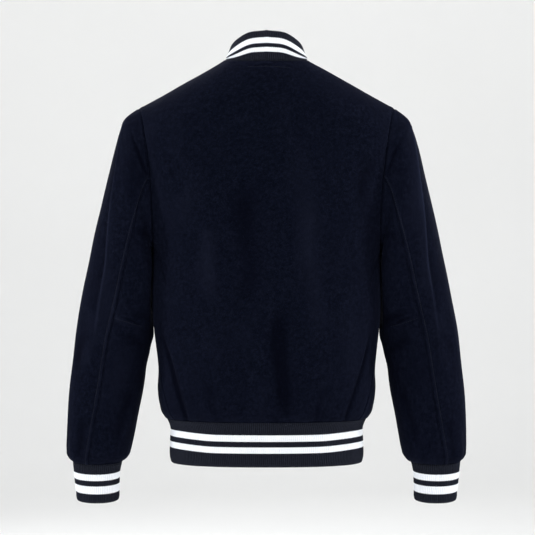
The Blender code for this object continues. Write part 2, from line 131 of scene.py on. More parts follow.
# The sleeve's rings, by distance down the outside of the arm: the outer and the inner point of each,
# the depth behind and in front of its middle, and how far its plane leans.
SLEEVE = table(
    "reach out_x out_z in_x in_z mid_y back front lean",
    (0, 212, -85.8, 190, -325, -3, 74, 76, 0),
    (14, 224, -92.8, 192, -328, -2, 76, 78, 0),
    (30, 236.5, -103.5, 190, -331, -2, 77.5, 79, 0),
    (50, 243.7, -122, 186, -337, -2, 79, 79, 0),
    (80, 250.9, -147, 181, -346, -2, 80, 79, 0),
    (130, 262.9, -196, 177, -364, -3, 79, 77, 0),
    (182, 274.3, -246, 175, -384, -4, 76, 73, 0),
    (233, 286.3, -296, 175, -406, -6, 72, 69, 0),
    (285, 296.7, -346, 178, -428, -8, 67, 65, 1),
    (335, 307.1, -396, 184, -450, -11, 62.5, 61, 2),
    (386, 316.3, -446, 194, -478, -14, 59, 58, 3),
    (436, 322.7, -496, 200.3, -512, -17, 56, 55, 4),
    (487, 329.2, -546, 205.6, -549, -21, 53, 52, 5),
    (540, 333, -599, 214.8, -596, -26, 50, 49, 6),
    (570, 334.5, -629, 220.5, -626, -29, 48, 47, 6),
    (594, 334.8, -653, 226.2, -652, -31, 46, 45.5, 6),
    (604, 333.8, -662.5, 229.2, -661.5, -32, 43, 43, 7),
    (610.5, 330, -667.8, 234, -667.5, -33, 38.5, 38.5, 7.5),
    (615, 326.6, -671.3, 239.6, -671.3, -34, 33.8, 33.8, 8),
)
SLEEVE_SETTLE = 120 * MM  # the armhole's own shape is gone this far down

# Where the sleeve's two seams run, as angles round it: 0 is outside, 90 behind, -90 in front.
SLEEVE_SEAMS = table(
    "reach behind before",
    (0, 90, -112.5),
    (30, 99, -112.5),
    (60, 99, -112.5),
    (100, 97, -112.5),
    (150, 93, -112.5),
    (205, 90, -112.5),
    (310, 87.5, -112.5),
    (410, 87, -111),
    (520, 83, -109),
    (615, 75, -106),
)

CUFF = table(
    "down out_x in_x mid_y depth",
    (0, 324.7, 241.6, -34, 32.6),
    (13, 323.4, 245, -35.5, 32),
    (33, 321.8, 246.9, -38, 31),
    (56, 319.2, 247.6, -40.5, 30),
    (65, 318.4, 248.3, -41.5, 29.5),
    (67, 316.9, 249.8, -41.7, 28),
)
CUFF_TOP = -671.3 * MM
CUFF_LEAN = 8

HEM_BAND = table(
    "z half_width back front",
    (-670, 157.5, 112, 115),
    (-665, 159, 113.5, 116.5),
    (-634, 159.6, 114, 117),
    (-607, 160.4, 114.3, 117.5),
    (-598, 165, 117.5, 121),
)

# The collar's upper edge, by the angle round the neck from the centre back.
COLLAR_TOP = table(
    "angle x y z",
    (0, 0, 48, 40),
    (30, 31.5, 38, 36.5),
    (50, 48, 16, 29.5),
    (70, 58.5, -13, 21.5),
    (90, 62, -39, 9.5),
    (120, 51, -74, -12),
    (150, 28, -95, -37),
    (180, 0, -101, -54),
)
COLLAR_SWELL = 3.5 * MM  # the band bows out between its edges


def smooth(keys, values, at):
    """A smooth curve through values at keys, read at the places asked for."""
    slopes = np.gradient(values, keys)
    at = np.clip(at, keys[0], keys[-1])
    i = np.clip(np.searchsorted(keys, at, side="right") - 1, 0, len(keys) - 2)
    step = keys[i + 1] - keys[i]
    t = (at - keys[i]) / step
    rise = values[i + 1] - values[i]
    bend_in = slopes[i] * step - rise
    bend_out = rise - slopes[i + 1] * step
    return values[i] + rise * t + t * (1 - t) * (bend_in * (1 - t) + bend_out * t)


def read(of, key, column, at):
    """A column of a table in millimetres, read at places in metres, in metres."""
    return smooth(of[key], of[column], np.asarray(at) / MM) * MM


def blend(a, b, share):
    return a + (b - a) * share


def eased(share):
    share = np.clip(share, 0, 1)
    return share * share * (3 - 2 * share)


# ---------------------------------------------------------------- the body's form


def shoulder_line(x):
    """Height of the shoulder seam at a distance from the centre."""
    return NECK_SIDE - SHOULDER_FALL * (np.abs(x) - NECK_HALF)


def body_point(angle, z):
    """The body's surface at an angle from the centre back, and a height."""
    x = read(BODY, "z", "half_width", z) * np.sin(angle)
    behind = np.cos(angle) >= 0
    reach = np.where(behind, read(BODY, "z", "back", z), -read(BODY, "z", "front", z))
    bulge = np.clip(1 - np.abs(np.sin(angle)) ** FULLNESS, 0, 1) ** (1 / FULLNESS)
    risen = np.clip((z - shoulder_line(x)) / SHOULDER_ROUND + 1, 0, 1)
    left = np.sqrt(1 - risen**2)
    y = reach * bulge * left + SHOULDER_SEAM_Y * (1 - left)
    return np.stack([x, y, z], axis=-1)


def armhole(side, rise):
    """Angle and height of the armhole's edge, from the underarm (rise 0) to the shoulder tip (rise 1)."""
    share = (1 - np.cos(np.pi * rise)) / 2
    x = blend(read(BODY, "z", "half_width", UNDERARM), SHOULDER_TIP, share)
    x = x - ARMHOLE_SCOOP[side] * np.sin(np.pi * rise)
    z = blend(UNDERARM, shoulder_line(SHOULDER_TIP), share)
    return np.arcsin(np.clip(x / read(BODY, "z", "half_width", z), -1, 1)), z


def neckline(side, turn, half=NECK_HALF, drop=0.0):
    """Half width and height of the neck's edge; turn is 0 at the centre and a right angle at the side."""
    fall = np.abs(np.cos(turn)) ** NECK_CURVE[side]
    return half * np.sin(turn), blend(shoulder_line(half), NECK_LOW[side], fall) - drop


def top_edge(side, across, half, end_x, drop, end_drop):
    """Half width and height of a row shaped like a panel's top edge, the neckline then the shoulder."""
    turn = np.clip(across / NECK_SHARE, 0, 1) * np.pi / 2
    neck_x, neck_z = neckline(side, turn, half, drop)
    share = np.clip((across - NECK_SHARE) / (1 - NECK_SHARE), 0, 1)
    out = blend(half, end_x, share)
    out_z = shoulder_line(out) - blend(drop, end_drop, share)
    on_neck = across < NECK_SHARE
    return np.where(on_neck, neck_x, out), np.where(on_neck, neck_z, out_z)


def panel_place(side, across, level):
    """Angle from the panel's own centre, and height.

    across runs from the centre (0) to the side seam or armhole (1); a front also goes past its centre.
    level runs from the hem seam (0) to the underarm (1) to the top edge (2).
    """
    mirror = np.sign(across) + (across == 0)
    across = np.abs(across)
    low_z = blend(HEM_SEAM, UNDERARM, np.clip(level, 0, 1))
    seam = np.radians(smooth(SIDE_SEAM["z"], SIDE_SEAM["angle"], low_z / MM))
    low_end = seam if side == "back" else np.pi - seam
    rise = np.clip(level - 1, 0, 1)
    share = (1 - np.cos(np.pi * rise)) / 2
    drop = (1 - share) * (NECK_LOW[side] - UNDERARM)
    end, end_z = armhole(side, rise)
    end_x = read(BODY, "z", "half_width", end_z) * np.sin(end)
    half = NECK_HALF + NECK_SPREAD * np.sqrt(1 - share)
    top_x, top_z = top_edge(side, across, half, end_x, drop, shoulder_line(end_x) - end_z)
    top = np.arcsin(top_x / read(BODY, "z", "half_width", top_z))
    pull = share**2
    angle = blend(across * end, top, pull)
    z = blend(blend(NECK_LOW[side] - drop, end_z, across**2), top_z, pull)
    lower = level <= 1
    return mirror * np.where(lower, across * low_end, angle), np.where(lower, low_z, z)


def panel_point(side, across, level):
    angle, z = panel_place(side, across, level)
    return body_point(angle if side == "back" else np.pi - angle, z)


def across_at(side, x, level):
    """Where a panel's row passes a distance x from its centre."""
    fine = np.linspace(0, NECK_SHARE, 60)
    return np.interp(x, panel_point(side, fine, np.full(60, level))[:, 0], fine)


# ---------------------------------------------------------------- the sleeve's form


def sleeve_ring(angle, reach):
    """The sleeve's rings alone, before they meet the armhole and the body."""
    row = {name: read(SLEEVE, "reach", name, reach) for name in SLEEVE if name != "lean"}
    lean = np.radians(smooth(SLEEVE["reach"], SLEEVE["lean"], reach / MM))
    behind = np.sin(angle) >= 0
    depth = np.where(behind, row["back"], row["front"]) * np.sin(angle)
    x = blend(row["in_x"], row["out_x"], (1 + np.cos(angle)) / 2)
    z = blend(row["in_z"], row["out_z"], (1 + np.cos(angle)) / 2)
    return np.stack([x, row["mid_y"] + depth * np.cos(lean), z - depth * np.sin(lean)], axis=-1)


def armhole_point(angle):
    """The armhole's edge at an angle round the sleeve."""
    rise = 1 - np.abs(angle) / np.pi
    back_angle, back_z = armhole("back", rise)
    front_angle, front_z = armhole("front", rise)
    behind = np.sin(angle) >= 0
    place = np.where(behind, back_angle, np.pi - front_angle)
    return body_point(place, np.where(behind, back_z, front_z))


def body_edge(y, z):
    """The body's half width at a depth and height below the underarm."""
    reach = np.where(y > 0, read(BODY, "z", "back", z), read(BODY, "z", "front", z))
    share = np.clip(np.abs(y) / reach, 0, 1)
    return read(BODY, "z", "half_width", z) * (1 - share**FULLNESS) ** (1 / FULLNESS)


def sleeve_point(angle, reach):
    """The left sleeve's surface at an angle round it and a distance down the outside of the arm."""
    angle = (angle + np.pi) % (2 * np.pi) - np.pi
    angle, reach = np.broadcast_arrays(angle, reach)
    point = sleeve_ring(angle, reach)
    hold = np.clip(1 - reach / SLEEVE_SETTLE, 0, 1) ** 2
    start = armhole_point(angle) - sleeve_ring(angle, np.zeros_like(reach))
    point = point + hold[..., None] * start
    x, y, z = point[..., 0], point[..., 1], point[..., 2]
    limit = body_edge(y, z) + BODY_CLEARANCE
    over = x - limit
    pushed = limit + (over + np.sqrt(over**2 + PUSH_ROUND**2)) / 2
    beside = eased(reach / PUSH_START) * eased((PUSH_TOP - z) / PUSH_FADE)
    point[..., 0] = blend(x, pushed, beside)
    return point


def sleeve_seam(which, reach):
    return np.radians(smooth(SLEEVE_SEAMS["reach"], SLEEVE_SEAMS[which], reach / MM))


def normals_of(grid):
    """Unit normals of a grid of points, pointing left of its rows' direction."""
    along = np.gradient(grid, axis=1)
    up = np.gradient(grid, axis=0)
    normal = np.cross(along, up)
    return normal / np.maximum(np.linalg.norm(normal, axis=-1, keepdims=True), 1e-12)


def mirrored(grid):
    """The same piece for the other side, its rows turned round so that its normals still point out."""
    return (grid * (-1, 1, 1))[:, ::-1]


def hem_point(angle, z):
    """The knitted hem band, at an angle from the centre back."""
    behind = np.cos(angle) >= 0
    reach = np.where(behind, read(HEM_BAND, "z", "back", z), -read(HEM_BAND, "z", "front", z))
    bulge = np.clip(1 - np.abs(np.sin(angle)) ** FULLNESS, 0, 1) ** (1 / FULLNESS)
    x = read(HEM_BAND, "z", "half_width", z) * np.sin(angle)
    return np.stack([x, reach * bulge, z], axis=-1)


# ---------------------------------------------------------------- lines on the surface


def graded(count, pull=0.8):
    """Places from 0 to 1, closer together near both ends."""
    even = np.linspace(0, 1, count)
    return even - pull * np.sin(2 * np.pi * even) / (2 * np.pi)


def back_spot(x, z):
    """The point of the back at a distance from the centre, and a height."""
    z = z * MM
    return body_point(np.arcsin(np.clip(x * MM / read(BODY, "z", "half_width", z), -1, 1)), z)


def front_spot(x, z):
    z = z * MM
    return body_point(np.pi - np.arcsin(np.clip(x * MM / read(BODY, "z", "half_width", z), -1, 1)), z)


def sleeve_spot(angle, reach):
    return sleeve_point(np.radians(angle), reach * MM)


def line_through(spot, places, count=500):
    """A smooth line on the surface through a few places chosen on it."""
    places = np.array(places, float)
    at = np.linspace(0, len(places) - 1, count)
    keys = np.arange(len(places))
    return spot(smooth(keys, places[:, 0], at), smooth(keys, places[:, 1], at))


def other_side(line):
    return line * (-1, 1, 1)


def run_along(line):
    """The distance along a line to each of its points."""
    return np.concatenate([[0], np.cumsum(np.linalg.norm(np.diff(line, axis=0), axis=1))])


def tree_of(points):
    """A search tree of points."""
    tree = KDTree(len(points))
    for number, point in enumerate(points.tolist()):
        tree.insert(point, number)
    tree.balance()
    return tree


def ring_faces(rings, sides, base=0):
    """Faces of a tube whose points are rings, each of so many sides, one after the other."""
    faces = []
    for low in range(base, base + (rings - 1) * sides, sides):
        for j in range(sides):
            k = (j + 1) % sides
            faces.append((low + j, low + k, low + sides + k, low + sides + j))
    return faces


def neck_edge(side):
    """The neckline from the centre to the shoulder seam."""
    x, z = neckline(side, np.linspace(0, np.pi / 2, 300))
    angle = np.arcsin(x / read(BODY, "z", "half_width", z))
    return body_point(angle if side == "back" else np.pi - angle, z)


def seam_lines():
    """The lines that the left half is sewn along, as rows of points."""
    around = np.linspace(-np.pi, np.pi, 2400)
    tall = np.linspace(HEM_SEAM, UNDERARM, 700)
    side = np.radians(smooth(SIDE_SEAM["z"], SIDE_SEAM["angle"], tall / MM))
    out = np.linspace(NECK_HALF, SHOULDER_TIP, 400)
    down = np.linspace(0, SLEEVE["reach"][-1], 1400) * MM
    return {
        "hem": body_point(around, np.full_like(around, HEM_SEAM)),
        "side": body_point(side, tall),
        "armhole": armhole_point(around),
        "shoulder": np.stack([out, np.full_like(out, SHOULDER_SEAM_Y), shoulder_line(out)], axis=-1),
        "back_neck": neck_edge("back"),
        "front_neck": neck_edge("front"),
        "behind": sleeve_point(sleeve_seam("behind", down), down),
        "before": sleeve_point(sleeve_seam("before", down), down),
        "cuff": sleeve_point(around, np.full_like(around, down[-1])),
    }


def beside(grid, line):
    """How far each point of a grid is from a line, and how far along the line its nearest point is."""
    run = run_along(line)
    tree = tree_of(line)
    found = [tree.find(point)[1:] for point in grid.reshape(-1, 3).tolist()]
    number, away = np.array(found).T
    shape = grid.shape[:2]
    return away.reshape(shape), run[number.astype(int)].reshape(shape)


# ---------------------------------------------------------------- relief of the cloth

ALLOWANCE = 7 * MM  # width of the cloth folded under beside a seam, and of the topstitching
PUCKER = 0.22 * MM

# How the cloth lies beside each kind of seam: the seam's own valley, the lift over the allowance,
# the dent of a row of stitches at the allowance's edge, and soft gathers that run away from the seam.
SEAM_KINDS = {
    "plain": {"valley": 1.3, "lift": 0.4, "dent": 0.0, "gather": 0.0},
    "stitched": {"valley": 1.6, "lift": 1.0, "dent": 0.6, "gather": 0.0},
    "gathered": {"valley": 1.0, "lift": 0.7, "dent": 0.0, "gather": 0.7},
    "armhole": {"valley": 1.6, "lift": 0.5, "dent": 0.0, "gather": 0.25},
}


def waves(run, lengths):
    """An uneven wave along a line, from a few waves that don't share a length."""
    total = sum(np.sin(2 * np.pi * run / (length * MM) + 1.7 * k) for k, length in enumerate(lengths))
    return total / len(lengths)


def seam_relief(grid, line, kind):
    """Height of the cloth beside a seam."""
    make = SEAM_KINDS[kind]
    away, run = beside(grid, line)
    valley = make["valley"] * MM
    if kind == "armhole":
        valley = valley * (0.25 + 0.75 * eased((-grid[..., 2] / MM - 88) / 60))
    height = -valley * np.exp(-((away / (1.5 * MM)) ** 2))
    height += make["lift"] * MM * np.exp(-(((away - 0.6 * ALLOWANCE) / (0.5 * ALLOWANCE)) ** 2))
    height -= make["dent"] * MM * np.exp(-(((away - ALLOWANCE) / (0.9 * MM)) ** 2))
    height += PUCKER * waves(run, (8.3, 12.1, 17.7)) * np.exp(-((away / ALLOWANCE) ** 2))
    height += make["gather"] * MM * waves(run, (23, 37, 61)) * np.exp(-((away / (26 * MM)) ** 2))
    return height


def crease_relief(grid, spot, crease):
    """A soft trough or ridge along a line: width and depth, then the places the line runs through."""
    width, depth, *places = crease
    away, run = beside(grid, line_through(spot, places))
    share = run / run.max() if run.max() > 0 else run
    fade = eased(share / 0.3) * eased((1 - share) / 0.3)
    t = away / (width * MM)
    return depth * MM * fade * (1 - 0.55 * t**2) * np.exp(-(t**2))


def swells(grid, high):
    """The gentle unevenness of heavy cloth that hangs free."""
    x, y, z = (grid / MM).transpose(2, 0, 1)
    total = np.sin(x / 31 + 0.4 * np.sin(z / 57)) * np.sin(z / 83 + 1.1)
    total += 0.6 * np.sin((x + y) / 17 + z / 49 + 2.0) * np.sin(z / 39 - x / 71)
    total += 0.35 * np.sin((x - y) / 11.5 + 0.7 * np.sin(z / 29)) * np.sin(z / 23 + y / 19)
    return high * MM * total


def edge_step(angle, grid, reach):
    """The pressed edge down the outside of a sleeve: the cloth behind it stands over the cloth before it."""
    places = np.array(PRESSED_EDGE, float)
    reach_rows = reach / MM
    path = np.radians(smooth(places[:, 1], places[:, 0], reach_rows))[:, None]
    stretch = np.linalg.norm(np.gradient(grid, axis=1), axis=-1) / np.abs(np.gradient(angle, axis=1))
    away = (angle - path) * stretch
    fade = eased((reach_rows - 8) / 25) * (1 - eased((reach_rows - 250) / 190))
    sharp = np.tanh(away / (EDGE_FORM["sharp"] * MM)) * np.exp(-np.abs(away) / (EDGE_FORM["wide"] * MM))
    crest = 0.8 * np.exp(-(((away - 2 * MM) / (3 * MM)) ** 2))
    return EDGE_FORM["high"] * MM * (sharp + crest) * fade[:, None]


# ---------------------------------------------------------------- where the creases run

# Each row: half width, depth (a ridge above zero), then the places the crease runs through, (x, z).
BACK_CREASES = (
    (7.0, -3.6, (173, -440), (169, -464), (156, -504), (145, -544), (129, -596), (118, -632)),
    (6.5, -3.3, (-171, -436), (-167, -465), (-157, -508), (-132, -581), (-116, -630)),
    (15, -2.7, (-16, -400), (-18, -440), (-23, -521), (-28, -598), (-33, -680)),
    (20, -0.8, (52, -470), (47, -530), (41, -598), (36, -670)),
    (26, -1.5, (24, -190), (33, -270), (27, -350), (38, -440)),
    (24, 1.2, (-72, -210), (-64, -300), (-79, -400), (-70, -500)),
    (20, 1.3, (88, -260), (94, -350), (86, -430)),
    (9, -1.6, (196, -300), (172, -342), (160, -392)),
    (9, -1.4, (-197, -306), (-176, -352), (-168, -398)),
    (14, -1.4, (178, -150), (150, -196), (138, -250)),
    (13, -1.2, (-180, -158), (-157, -205), (-146, -262)),
    (12, -1.2, (93, -520), (88, -560), (86, -640)),
    (11, -1.1, (-88, -530), (-84, -570), (-80, -640)),
)

FRONT_CREASES = {
    "left": (
        (8, -3.8, (172, -452), (157, -500), (138, -560), (118, -632)),
        (16, -2.4, (58, -430), (53, -520), (44, -640)),
        (10, -1.9, (192, -300), (150, -350), (128, -410)),
        (16, -1.6, (170, -140), (132, -200), (118, -268)),
        (22, 1.3, (92, -230), (86, -330), (96, -430)),
        (9, -1.3, (100, -528), (94, -570), (90, -640)),
        (7, -1.0, (30, -556), (34, -590), (36, -640)),
    ),
    "right": (
        (8, -3.4, (168, -462), (152, -512), (136, -566), (120, -632)),
        (15, -2.7, (70, -446), (62, -528), (57, -640)),
        (10, -1.6, (192, -306), (158, -346), (140, -396)),
        (15, -1.8, (166, -150), (138, -206), (120, -262)),
        (20, 1.2, (80, -250), (90, -340), (84, -420)),
        (8, -1.2, (112, -538), (106, -578), (100, -640)),
    ),
}

# The same, by the angle round the sleeve and the distance down the outside of the arm.
SLEEVE_CREASES = {
    "left": (
        (3.6, -1.5, (50, 20), (67.5, 14), (83, 5), (96, 1)),
        (3.4, -1.2, (30, 26), (62.5, 18), (86, 7), (97, 3)),
        (9, -1.5, (128, 60), (112, 92), (100, 140)),
        (8, -2.2, (-150, 320), (-115, 346), (-78, 352), (-52, 342)),
        (7, -1.8, (-140, 366), (-108, 376), (-72, 374)),
        (9, -1.5, (-128, 282), (-96, 300), (-66, 296)),
        (12, -1.6, (150, 300), (122, 318), (100, 330)),
        (13, -1.5, (158, 392), (128, 380), (104, 362)),
        (16, -1.5, (64, 372), (40, 410), (28, 470)),
        (14, 1.4, (48, 330), (56, 400), (50, 470)),
        (12, -1.8, (140, 470), (128, 530), (118, 590)),
        (11, -1.6, (60, 520), (58, 570), (55, 640)),
        (9, -1.3, (20, 540), (18, 580), (16, 640)),
        (9, -1.5, (-40, 530), (-42, 580), (-44, 640)),
        (10, -1.4, (-90, 500), (-86, 560), (-84, 640)),
        (14, -1.6, (-60, 60), (-78, 110), (-86, 170)),
        (22, 2.1, (180, 288), (180, 350), (181, 440)),
    ),
    "right": (
        (3.6, -1.4, (48, 22), (66, 15), (82, 6), (95, 1)),
        (3.4, -1.2, (31, 29), (60, 20), (85, 8), (96, 3)),
        (9, -1.7, (130, 66), (114, 98), (101, 150)),
        (8, -2.0, (-146, 330), (-112, 352), (-80, 354), (-50, 350)),
        (7, -1.9, (-138, 300), (-104, 310), (-70, 306)),
        (8, -1.4, (-130, 386), (-96, 394), (-64, 386)),
        (12, -1.8, (154, 310), (126, 322), (102, 334)),
        (13, -1.3, (160, 400), (130, 390), (106, 368)),
        (17, -1.4, (66, 380), (44, 416), (30, 480)),
        (13, 1.3, (50, 320), (58, 390), (52, 460)),
        (12, -1.6, (142, 460), (130, 525), (121, 590)),
        (11, -1.5, (64, 530), (60, 574), (57, 640)),
        (9, -1.4, (26, 548), (23, 584), (20, 640)),
        (9, -1.3, (-36, 536), (-39, 582), (-42, 640)),
        (10, -1.5, (-94, 510), (-90, 566), (-88, 640)),
        (14, -1.5, (-58, 66), (-76, 118), (-84, 180)),
        (22, 2.0, (180, 290), (180, 352), (181, 442)),
    ),
}

# The elbow dart on the under sleeve, from the seam behind, and the pressed edge down the outside.
DART = ((86, 339), (109.5, 337), (134.5, 333))
DART_STITCH = -4 * MM  # its topstitching lies this far below it
DART_RELIEF = 1.25  # how much bolder than other stitched seams it stands
PRESSED_EDGE = (
    (12, 12),
    (17.5, 33),
    (30.5, 75),
    (38, 106),
    (47, 177),
    (58, 257),
    (59, 311),
    (62, 362),
    (64, 620),
)
EDGE_FORM = {"sharp": 1.8, "wide": 16, "high": 1.8}  # of the pressed edge's step, in millimetres

PLACKET_RELIEF = 0.6  # how much of a stitched seam's relief the front edges have
ALL_SIDES = ("bottom", "top", "first", "last")

# The tape at the back of the neck, (x, z), and how far above its stitches its ridge lies.
NECK_TAPE = ((-42, -23.5), (-20, -22.5), (0, -22), (18, -22.3), (34, -23))
TAPE_RIDGE = 4.5


# ---------------------------------------------------------------- wool panels


def mesh_piece(name, grid, faces, materials, marks=None):
    """An object from points and faces; marks are values by point that its material reads."""
    mesh = bpy.data.meshes.new(name)
    mesh.from_pydata(grid.reshape(-1, 3).tolist(), [], faces)
    for material in materials:
        mesh.materials.append(material)
    if marks is not None:
        values = mesh.attributes.new("rise", "FLOAT", "POINT")
        values.data.foreach_set("value", marks.reshape(-1).astype(np.float32))
    mesh.shade_smooth()
    piece = bpy.data.objects.new(name, mesh)
    bpy.context.scene.collection.objects.link(piece)
    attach(piece, "root")
    return piece


def face_outwards(mesh):
    """Turn the faces of a closed mesh to look outwards."""
    work = bmesh.new()
    work.from_mesh(mesh)
    bmesh.ops.recalc_face_normals(work, faces=work.faces)
    work.to_mesh(mesh)
    work.free()


def grid_faces(rows, columns):
    low = np.arange(rows - 1)[:, None] * columns + np.arange(columns - 1)[None]
    quads = np.stack([low, low + 1, low + columns + 1, low + columns], axis=-1)
    return quads.reshape(-1, 4).tolist()


def inset(grid, sides):
    """Draws a grid's outer rows or columns in, so that they end a gap away from the seam."""
    edges = {
        "bottom": (np.s_[0], np.s_[1]),
        "top": (np.s_[-1], np.s_[-2]),
        "first": (np.s_[:, 0], np.s_[:, 1]),
        "last": (np.s_[:, -1], np.s_[:, -2]),
    }
    grid = grid.copy()
    for side in sides:
        edge, inner = edges[side]
        way = grid[inner] - grid[edge]
        length = np.maximum(np.linalg.norm(way, axis=-1, keepdims=True), 1e-6)
        grid[edge] += way * np.minimum(SEAM_GAP / length, 0.4)
    return grid


def wool_piece(name, grid, height, sides, mirror=False):
    """A cut piece: its grid raised by the relief, drawn in at its seams and thickened inwards."""
    # The relief height is kept as a mark by point; the wool material paints a highlight on raised cloth and
    # shade in hollows from it.
    rise = height / MM
    grid = inset(grid + normals_of(grid) * height[..., None], sides)
    if mirror:
        grid, rise = mirrored(grid), rise[:, ::-1]
    piece = mesh_piece(name + "_wool", grid, grid_faces(*grid.shape[:2]), [WOOL], rise)
    thicken = piece.modifiers.new("Wall", "SOLIDIFY")
    thicken.thickness = WOOL_WALL
    thicken.offset = -1
    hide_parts(name)
    return grid


def panel_rows(count):
    """Panel levels from the hem seam to the top edge, closer near both."""
    t = np.clip(2 * graded(count, 0.7), 0, 2)
    risen = np.clip(t - 1, 0, 1)
    return np.where(t <= 1, t, 1 + (risen + np.arccos(1 - 2 * risen) / np.pi) / 2)


def make_back(seams):
    level = panel_rows(190)[:, None]
    across = 1 - 2 * graded(200)[None]
    grid = panel_point("back", *np.broadcast_arrays(across, level))
    height = swells(grid, 0.55) + seam_relief(grid, seams["hem"], "gathered")
    for name in ("side", "armhole", "shoulder", "back_neck"):
        kind = "armhole" if name == "armhole" else "plain"
        height += seam_relief(grid, seams[name], kind) + seam_relief(grid, other_side(seams[name]), kind)
    for crease in BACK_CREASES:
        height += crease_relief(grid, back_spot, crease)
    height += crease_relief(grid, back_spot, (1.6, -0.7, *NECK_TAPE))
    height += crease_relief(grid, back_spot, (3.2, 0.6, *((x, z + TAPE_RIDGE) for x, z in NECK_TAPE)))
    return wool_piece("back", grid, height, ALL_SIDES)


def front_grid():
    level = panel_rows(180)
    closing = np.array([-across_at("front", LAP, one) for one in level])[:, None]
    across = blend(closing, 1.0, graded(120)[None])
    return panel_point("front", *np.broadcast_arrays(across, level[:, None]))


def lapped(grid):
    """A front tucked under the other: set in by a wall and a gap where they lap."""
    drop = (WOOL_WALL + LAP_GAP) * eased((LAP + LAP_SETTLE + 2 * MM - grid[..., 0]) / LAP_SETTLE)
    return grid - normals_of(grid) * drop[..., None]


def make_fronts(seams):
    plain = front_grid()
    grids = {}
    for side in ("left", "right"):
        grid = plain if side == "left" else lapped(plain)
        height = swells(grid if side == "left" else other_side(grid), 0.5)
        height += seam_relief(grid, seams["hem"], "gathered") + seam_relief(grid, seams["side"], "plain")
        for line in ("armhole", "shoulder", "front_neck"):
            height += seam_relief(grid, seams[line], "armhole" if line == "armhole" else "plain")
        height += seam_relief(grid, grid[:, 0], "stitched") * PLACKET_RELIEF
        for crease in FRONT_CREASES[side]:
            height += crease_relief(grid, front_spot, crease)
        sides = ("bottom", "top", "last")
        name = "front_" + side
        grids[side] = wool_piece(name, grid, height, sides, mirror=side == "right")
    return grids


def make_sleeves(seams):
    """Both sleeves, each of an upper and an under piece."""
    reach = graded(170, 0.75) * SLEEVE["reach"][-1] * MM
    behind, before = sleeve_seam("behind", reach)[:, None], sleeve_seam("before", reach)[:, None]
    grids = {}
    for part, first, last, columns, flat, area in (
        ("top_sleeve", before, behind, 120, (0.33, 0.64), 0.148),
        ("under_sleeve", behind, before + 2 * np.pi, 70, (0.2, 0.5), 0.08),
    ):
        angle = blend(first, last, graded(columns)[None])
        grid = sleeve_point(*np.broadcast_arrays(angle, reach[:, None]))[::-1]
        angle = angle[::-1]
        for side in ("left", "right"):
            height = swells(grid if side == "left" else other_side(grid), 0.6)
            height += seam_relief(grid, seams["armhole"], "armhole")
            height += seam_relief(grid, seams["cuff"], "gathered")
            height += seam_relief(grid, seams["behind"], "stitched" if part == "top_sleeve" else "plain")
            height += seam_relief(grid, seams["before"], "plain")
            for crease in SLEEVE_CREASES[side]:
                height += crease_relief(grid, sleeve_spot, crease)
            if part == "under_sleeve":
                height += seam_relief(grid, line_through(sleeve_spot, DART), "stitched") * DART_RELIEF
            else:
                height += edge_step(angle, grid, reach[::-1])
            name = f"{part}_{side}"
            grids[name] = wool_piece(name, grid, height, ALL_SIDES, mirror=side == "right")
    return grids


ALLOWANCE_RADIUS = 1.7 * MM
ALLOWANCE_DEPTH = 2.5 * MM  # of the roll's middle, behind the seam line
ALLOWANCE_SIDES = 8
ALLOWANCE_STEP = 7  # every so many points of a seam line have a ring
NECK_CENTRE_DROP = 90 * MM


def seam_middle(name, line, arm):
    """The points that a seam's turned-in edges lie towards."""
    if name in ("behind", "before"):
        return arm
    if name in ("cuff", "armhole"):
        return line.mean(axis=0)
    if name in ("hem", "side"):
        return line * (0, 0, 1)
    return line * (0.6, 0.6, 1) - (0, 0, NECK_CENTRE_DROP)


def make_allowances(seams):
    """The turned-in edges of the cloth, a soft roll behind each seam that closes it to the light."""
    down = np.linspace(0, SLEEVE["reach"][-1], 1400) * MM
    turn = np.linspace(0, 2 * np.pi, 9)[:-1, None]
    arm = sleeve_point(*np.broadcast_arrays(turn, down[None])).mean(axis=0)
    angles = np.arange(ALLOWANCE_SIDES) / ALLOWANCE_SIDES * 2 * np.pi
    cosines, sines = np.cos(angles)[None, :, None], np.sin(angles)[None, :, None]
    points, faces = [], []
    for name, line in seams.items():
        inward = seam_middle(name, line, arm) - line
        inward /= np.linalg.norm(inward, axis=1, keepdims=True)
        line = (line + inward * ALLOWANCE_DEPTH)[::ALLOWANCE_STEP]
        inward = inward[::ALLOWANCE_STEP]
        side = np.cross(np.gradient(line, axis=0), inward)
        side /= np.linalg.norm(side, axis=1, keepdims=True)
        tube = line[:, None] + ALLOWANCE_RADIUS * (cosines * inward[:, None] + sines * side[:, None])
        for copy in (tube,) if name == "hem" else (tube, other_side(tube)):
            base = sum(len(block) for block in points)
            faces += ring_faces(len(copy), ALLOWANCE_SIDES, base)
            points.append(copy.reshape(-1, 3))
    grid = np.concatenate(points)
    # Each roll carries a relief mark of -1, so the wool material paints it partly in painted shade.
    piece = mesh_piece("seam_allowances", grid, faces, [WOOL], np.full(len(grid), -1.0))


# ---------------------------------------------------------------- knitted bands

RIB_PITCH = 3.2 * MM
RIB_HEIGHT = 0.55 * MM
RIB_SAMPLES = 6
FOLD_ROWS = 7
HEM_SWAY = 3.4  # how far the hem band's stripes ride up at its sides

# Heights of the stripes from the seam to the fold, in turn navy and white.
STRIPES = {
    "hem": (20.1, 10.3, 9.0, 10.0, 22.6),
    "cuff": (17.7, 10.8, 9.2, 13.1, 16.2),
    "collar": (13.9, 7.3, 7.1, 10.2, 13.5),
}


def even_places(surface, first, last):
    """Places along a band with a whole number of ribs, each divided evenly along its middle."""
    fine = np.linspace(first, last, 6000)
    middle = surface(fine, np.array([0.5]))[0]
    run = run_along(middle)
    ribs = round(run[-1] / RIB_PITCH)
    number = np.arange(ribs * RIB_SAMPLES + 1) / RIB_SAMPLES
    return np.interp(number / ribs * run[-1], run, fine), number


